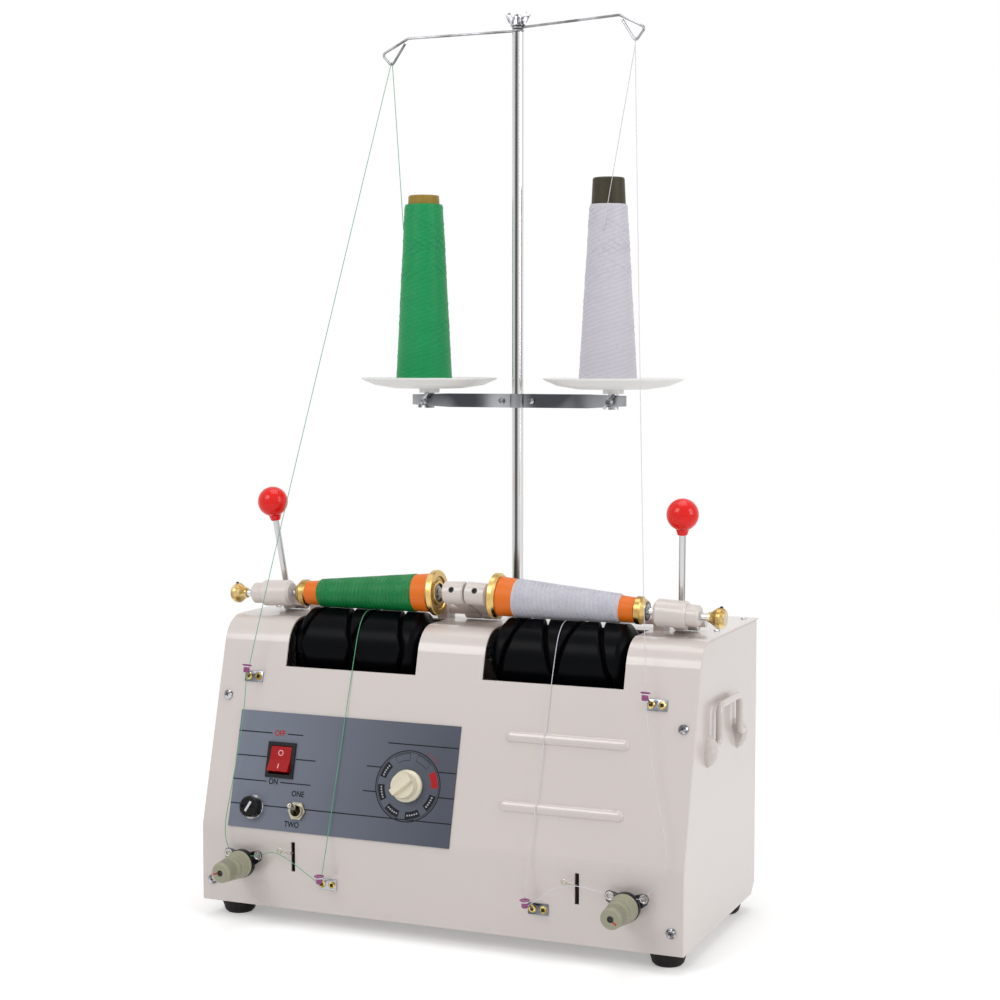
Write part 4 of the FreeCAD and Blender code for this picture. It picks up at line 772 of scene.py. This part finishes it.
def makePanelFittings():
    fuse = panelPlace @ Matrix.Translation(fitting["fuse"])
    slot = bar(fitting["slotLow"], fitting["slotHigh"])
    slot.data.transform(Matrix.Rotation(math.radians(fitting["slotTurn"]), 4, "Z"))
    settle(slot, "fuse_slot", fuse, moulded("slotWhite", rgb(206, 206, 208), 0.4), "base")
    chrome = metal("rimChrome", rgb(190, 190, 194), 0.16, reflectionDark=rgb(90, 90, 94), patches=200)
    settle(standing(fitting["fuseRim"], 64), "fuse_rim", fuse, chrome, "base")

    rocker = panelPlace @ Matrix.Translation(fitting["rocker"])
    marks = moulded("rockerPink", rgb(238, 176, 176), 0.3, grain=0.0)
    circle = arc(fitting["circle"], fitting["circleWidth"], 0, 12, steps=40)
    circle.data.transform(Matrix.Translation(fitting["circlePlace"])
                          @ Matrix.Rotation(math.radians(fitting["circleTilt"]), 4, "X"))
    across, up = fitting["dash"]
    dash = bar((-across, -up, -0.00002), (across, up, 0.0001), 0.00004)
    dash.data.transform(Matrix.Translation(fitting["dashPlace"])
                        @ Matrix.Rotation(math.radians(fitting["dashTilt"]), 4, "X"))
    settle(joined([circle, dash]), "rocker_marks", rocker, marks, "rocker")


# on each winding head: a dark plug of painted shade in the knuckle's hole, and the spindle knob's small screw
# and pale end
head = {"plugAlong": 0.01025, "plugTurn": 68, "screwAlong": 0.2168, "screwUp": 0.0073,
        "plug": [(0, 0.0055), (0.00245, 0.0055), (0.00245, 0.0088), (0.0014, 0.0088), (0.0011, 0.0075),
                 (0, 0.0075)],
        "screw": [(0, 0), (0.0013, 0), (0.0013, 0.0018), (0.0009, 0.0022), (0, 0.0022)],
        "face": [(0.22025, 0), (0.22025, 0.0058), (0.22054, 0.0056), (0.22054, 0)]}


def makeHeadFittings(side, place, dark):
    plug = standing(head["plug"], 32)
    plug.data.transform(Matrix.Translation((head["plugAlong"], 0, 0))
                        @ Matrix.Rotation(math.radians(head["plugTurn"]), 4, "X"))
    settle(plug, f"hole_shade_{side}", place, dark, f"cradle_{side}_arm")
    screw = standing(head["screw"], 24)
    screw.data.transform(Matrix.Translation((head["screwAlong"], 0, head["screwUp"])))
    settle(screw, f"knob_screw_{side}", place, dark, f"spindle_{side}_slide")
    pale = metal(f"paleBrass_{side}", rgb(222, 208, 184), 0.3)
    settle(turnedPiece(head["face"], 48), f"knob_face_{side}", place, pale, f"spindle_{side}_slide")


# on each tension knob's end: a dark disc of painted shade in its hole, and its red mark, at turns in degrees
knobEnd = {"reach": 0.0445, "hole": 0.0024, "holeDeep": 0.0016, "holeTop": 0.0009, "rightTurn": -40,
           "leftTurn": 190, "markStart": 0.0026, "markEnd": 0.0062, "markHalf": 0.0007}


def makeKnobEnd(side, hand, dark):
    reach, wide = knobEnd["reach"], knobEnd["hole"]
    low, high = reach - knobEnd["holeDeep"], reach - knobEnd["holeTop"]
    hole = standing([(0, low), (wide, low), (wide, high), (0, high)], 32)
    settle(hole, f"tension_hole_{side}", onTension(hand), dark, f"tension_{side}")
    mark = bar((knobEnd["markStart"], -knobEnd["markHalf"], reach - 0.0002),
               (knobEnd["markEnd"], knobEnd["markHalf"], reach + 0.00002), 0.00003)
    mark.data.transform(Matrix.Rotation(math.radians(knobEnd[f"{side}Turn"]), 4, "Z"))
    settle(mark, f"tension_mark_{side}", onTension(hand), moulded(f"redMark_{side}", rgb(176, 30, 26), 0.4),
           f"tension_{side}")


slotShade = moulded("slotShade", rgb(22, 22, 24), 0.5)
makeRibs()
makeCrosses(slotShade)
makePanelFittings()
for side, place, hand in (("right", headPlace, 1), ("left", otherSide @ headPlace, -1)):
    makeHeadFittings(side, place, slotShade)
    makeKnobEnd(side, hand, slotShade)
print("fittings made")

# the strands' radius, their points, and how their turns crowd at the ends and wander
package = {"strand": 0.0002, "pointsPerTurn": 30, "endShare": 0.04, "evenShare": 0.65, "wobble": 0.006}


def laidStrands(foot, top, footRadius, topRadius, turns, passes, size):
    # one thread laid to and fro on a cone that stands on Z, its turns closest at the ends
    curve = bpy.data.curves.new("strands", "CURVE")
    curve.dimensions = "3D"
    count = int(turns * package["pointsPerTurn"])
    margin, even = package["endShare"], package["evenShare"]
    points = []
    turn = 0
    for index in range(passes):
        for step in range(count):
            eased = margin + (1 - 2 * margin) * step / count
            share = (1 - even) * (1 - math.cos(math.pi * eased)) / 2 + even * step / count
            height = share if index % 2 == 0 else 1 - share
            wobble = package["wobble"] * math.sin(index * 2.4)
            height = min(max(height + wobble * math.sin(math.pi * height), 0), 1)
            radius = footRadius + (topRadius - footRadius) * height
            lift = 0.5 * package["strand"] * math.sin(turn * 3.1 + index)
            points.append((math.cos(turn) * (radius + lift), math.sin(turn) * (radius + lift),
                           foot + (top - foot) * height))
            turn += math.tau * turns / count
        turn += math.tau * (0.618 / passes - turns % 1)
    spline = curve.splines.new("POLY")
    spline.points.add(len(points) - 1)
    for spot, point in zip(spline.points, points):
        spot.co = (*point, 1)
    curve.bevel_depth = size
    curve.bevel_resolution = 0
    curve.use_fill_caps = True
    piece = bpy.data.objects.new("strands", curve)
    bpy.context.scene.collection.objects.link(piece)
    pickOnly(piece)
    bpy.ops.object.convert(target="MESH")
    return bpy.context.object


# right and left: height of the top, radius at the foot and at the head, and the tube's radius at the top
supply = {"foot": 0.4306, "tubeFoot": 0.0227, "turns": 2.35, "passes": 14, "endGap": 0.0022,
          "topGap": 0.0016, "footEase": (0.001, 0.003), "topEase": (0.0006, 0.0025),
          "right": (0.583, 0.0252, 0.0164, 0.0149), "rightPlace": (0.0815, 0.0045, 0),
          "left": (0.588, 0.0250, 0.0171, 0.0142), "leftPlace": (-0.0915, 0.0045, 0)}


def makeSupply(side, place, finish, strands):
    # the supply package: a solid winding with its newest strands on top
    lay, foot, tubeFoot = package["strand"], supply["foot"], supply["tubeFoot"]
    top, footRadius, headRadius, tubeTop = supply[side]
    (footIn, footUp), (topIn, topDown) = supply["footEase"], supply["topEase"]
    body = standing([(tubeFoot, foot), (footRadius - footIn - lay, foot), (footRadius - lay, foot + footUp),
                     (headRadius - lay, top - topDown), (headRadius - topIn - lay, top), (tubeTop, top),
                     (tubeFoot, foot)])
    settle(body, f"wound_supply_{side}", place, finish, "base")
    over = laidStrands(foot + supply["endGap"], top - supply["topGap"], footRadius - lay * 0.6,
                       headRadius - lay * 0.4, supply["turns"], supply["passes"], lay)
    settle(over, f"supply_strands_{side}", place, strands, "base", angle=60)
    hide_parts(f"supply_thread_{side}")


# the package's profile is (along, radius) pairs from its wide end
small = {"start": 0.0458, "end": 0.1336, "startRadius": 0.01567, "endRadius": 0.01161, "turns": 27.3,
         "passes": 5, "strand": 0.00022,
         "profile": [(0.045, 0.0151), (0.045, 0.01555), (0.0456, 0.0157), (0.1338, 0.01162), (0.135, 0.0107),
                     (0.135, 0.0102), (0.045, 0.0151)]}


def makePackage(side, place, finish, strands):
    # the package being wound on the small cone
    body = turnedPiece(small["profile"])
    settle(body, f"wound_package_{side}", place, finish, f"package_{side}")
    over = laidStrands(small["start"], small["end"], small["startRadius"], small["endRadius"],
                       small["turns"], small["passes"], small["strand"])
    over.data.transform(Matrix.Rotation(math.radians(90), 4, "Y"))
    settle(over, f"package_strands_{side}", place, strands, f"package_{side}", angle=60)
    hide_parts(f"wound_thread_{side}")


def makePackages():
    right = standPlace @ Matrix.Translation(supply["rightPlace"])
    left = standPlace @ Matrix.Translation(supply["leftPlace"])
    # the packages on the drums take darker copies of the thread colours as painted shade, and the green
    # supply's top strands take a lighter copy as painted highlight
    green = wound("woundGreen", threadGreen, left, 1250, 36, deep=0.74, bright=1.1)
    white = wound("woundWhite", threadWhite, right, 1250, 36, deep=0.8, bright=1.04)
    greenSmall = wound("greenPackage", rgb(0, 118, 58), otherSide @ headPlace, 1250, 12, deep=0.45,
                       turned=True)
    whiteSmall = wound("whitePackage", rgb(206, 205, 213), headPlace, 1250, 12, deep=0.72, bright=1.05,
                       turned=True)
    makeSupply("right", right, white, whiteThread)
    makeSupply("left", left, green, strand("greenSupply", rgb(10, 160, 92)))
    makePackage("right", headPlace, whiteSmall, strand("whiteLay", rgb(200, 199, 210)))
    makePackage("left", otherSide @ headPlace, greenSmall, strand("greenLay", rgb(16, 138, 72)))


makePackages()
print("thread packages made")

# the panel's lines are (start, end) pairs at each height, and the dial's segments stand at clock hours
inked = {"face": 0.001, "thick": 0.00012, "line": 0.0009, "letters": 0.0066, "narrow": 0.84,
         "dial": (-0.0252, 0.0467), "ring": 0.0284, "innerRing": 0.0270, "segment": 0.0234,
         "segmentWidth": 0.0058, "outline": 0.0027, "thin": 0.0004, "sweep": 1.02, "shine": 0.2,
         "darkHours": (3.97, 5.47, 6.97, 8.47, 9.97), "openHours": (11.47, 0.97), "redHour": 2.47,
         "redArc": 0.0312, "dots": 5, "dotGap": 5.2, "dotHalf": 0.0006}
panelLines = {0.080: [(-0.1854, -0.1538), (-0.1392, -0.1248), (-0.0465, 0.016)],
              0.060: [(-0.1854, -0.1565), (-0.1288, -0.1107), (-0.0634, -0.0505), (0.0004, 0.016)],
              0.040: [(-0.1854, -0.1540), (-0.1412, -0.1128), (-0.0648, -0.0528), (0.0024, 0.016)],
              0.020: [(-0.1854, -0.1730), (-0.1550, -0.1290), (-0.1150, 0.016)]}


def printLine(start, end, up):
    half = inked["line"] / 2
    face = inked["face"]
    return bar((start, up - half, face - 0.0001), (end, up + half, face + inked["thick"]), 0.00004)


def word(text, across, up):
    letters = lettering(text, inked["letters"], inked["thick"])
    letters.data.transform(Matrix.Translation((across, up, inked["face"]))
                           @ Matrix.Diagonal((inked["narrow"], 1, 1, 1)))
    return letters


def onDial(piece):
    piece.data.transform(Matrix.Translation((*inked["dial"], inked["face"])))
    return piece


def dialDots(hour):
    # small white marks in a dark segment
    dots = []
    half, low, high = inked["dotHalf"], inked["thick"] * 0.4, inked["thick"]
    for index in range(inked["dots"]):
        turn = math.radians(hour * 30 + inked["dotGap"] * (index - 2))
        across, up = math.sin(turn) * inked["segment"], math.cos(turn) * inked["segment"]
        dots.append(onDial(bar((across - half, up - half, low), (across + half, up + half, high), 0.00003)))
    return dots


def makePanelPrint():
    middle, wide, sweep = inked["segment"], inked["segmentWidth"], inked["sweep"]
    thin, out = inked["thin"], inked["outline"]
    black = [printLine(start, end, up) for up, lines in panelLines.items() for start, end in lines]
    black += [word("ON", -0.1476, 0.040), word("ONE", -0.1235, 0.0318), word("TWO", -0.1260, 0.0066)]
    black.append(onDial(arc(inked["ring"], inked["line"], 0, 12, steps=120)))
    black.append(onDial(arc(inked["innerRing"], thin, 0, 12, steps=120)))
    black += [onDial(arc(middle, wide, hour - sweep / 2, sweep)) for hour in inked["darkHours"]]
    for hour in inked["openHours"]:
        for radius in (middle - out, middle + out):
            black.append(onDial(arc(radius, thin, hour - sweep / 2, sweep)))
        for end in (hour - sweep / 2, hour + sweep / 2 - 0.02):
            black.append(onDial(arc(middle, 2 * out, end, 0.02, steps=2)))
    red = [word("OFF", -0.1466, 0.080), onDial(arc(inked["redArc"], thin, 0.9, 0.8)),
           onDial(arc(middle, wide, inked["redHour"] - sweep / 2, sweep))]
    white = [dot for hour in inked["darkHours"] for dot in dialDots(hour)]
    inks = {"black": (black, rgb(14, 16, 24)), "red": (red, rgb(168, 24, 28)),
            "white": (white, rgb(176, 178, 184))}
    for name, (pieces, colour) in inks.items():
        finish = moulded(f"{name}Ink", colour, 0.4, grain=0.02, spread=0.04, shine=inked["shine"])
        settle(joined(pieces), f"panel_print_{name}", panelPlace, finish, "base")


makePanelPrint()
print("panel print made")

light = {"fill": 0.5, "floorGlow": 0.3, "floorRadius": 4, "fadeStart": 0.45, "fadeLength": 0.9}
lamps = {"keyLight": {"place": (-0.9, -1.9, 1.7), "target": (0, 0, 0.25), "size": (1.2, 1.0), "power": 17},
         "sideLight": {"place": (2.2, -0.3, 1.1), "target": (0, 0, 0.25), "size": (1.0, 1.4), "power": 14.5},
         "topLight": {"place": (0.1, 0.1, 2.4), "target": (0, 0, 0.3), "size": (1.6, 1.6), "power": 17}}


def makeFloor():
    pickNothing()
    bpy.ops.mesh.primitive_circle_add(vertices=96, radius=light["floorRadius"], fill_type="NGON")
    floor = bpy.context.object
    floor.name = "floor"
    shader = Shader("floorPaper")
    tree = shader.tree
    tree.nodes.remove(shader.surface)
    across = shader.node("ShaderNodeVectorMath", {"operation": "LENGTH"}, [shader.where()], output="Value")
    fade = (across - light["fadeStart"]) / light["fadeLength"]
    far = shader.node("ShaderNodeValToRGB", {"stops": [(0.0, 0), (1.0, 1)]}, [fade])
    path = shader.node("ShaderNodeLightPath")
    seen = [Wire(shader, path.socket.node.outputs[name])
            for name in ("Is Camera Ray", "Is Glossy Ray", "Is Transmission Ray")]
    bright = seen[0].math("MAXIMUM", seen[1]).math("MAXIMUM", seen[2])
    grain = shader.mix(shader.noise(shader.where(), 300), rgb(238, 238, 238), rgb(246, 246, 246))
    paper = shader.node("ShaderNodeBsdfDiffuse", {}, {"Color": grain})
    glow = bright * light["floorGlow"]
    lift = shader.node("ShaderNodeEmission", {}, {"Color": (1, 1, 1, 1), "Strength": glow})
    near = shader.node("ShaderNodeAddShader", {}, [paper, lift])
    beyond = shader.node("ShaderNodeEmission", {}, {"Color": (1, 1, 1, 1), "Strength": 1.0})
    shown = shader.node("ShaderNodeMixShader", {}, [far * bright, near, beyond])
    out = [node for node in tree.nodes if node.type == "OUTPUT_MATERIAL"][0]
    tree.links.new(shown.socket, out.inputs["Surface"])
    floor.data.materials.append(shader.material)


def makeWorld():
    world = bpy.data.worlds.new("studio")
    bpy.context.scene.world = world
    world.use_nodes = True
    tree = world.node_tree
    back = tree.nodes["Background"]
    back.inputs["Color"].default_value = (1, 1, 1, 1)
    path = tree.nodes.new("ShaderNodeLightPath")
    seen = path.outputs["Is Camera Ray"]
    for ray in ("Is Glossy Ray", "Is Transmission Ray"):
        larger = tree.nodes.new("ShaderNodeMath")
        larger.operation = "MAXIMUM"
        tree.links.new(seen, larger.inputs[0])
        tree.links.new(path.outputs[ray], larger.inputs[1])
        seen = larger.outputs[0]
    level = tree.nodes.new("ShaderNodeMapRange")
    level.inputs["To Min"].default_value = light["fill"]
    level.inputs["To Max"].default_value = 1.0
    tree.links.new(seen, level.inputs["Value"])
    tree.links.new(level.outputs["Result"], back.inputs["Strength"])


def makeLamp(name, place, target, size, power):
    bpy.ops.object.light_add(type="AREA", location=place)
    made = bpy.context.object
    made.name = name
    made.data.shape = "RECTANGLE"
    made.data.size, made.data.size_y = size
    made.data.energy = power
    made.rotation_euler = (Vector(target) - Vector(place)).to_track_quat("-Z", "Y").to_euler()


makeFloor()
makeWorld()
for name, settings in lamps.items():
    makeLamp(name, **settings)
print("floor and lights made")
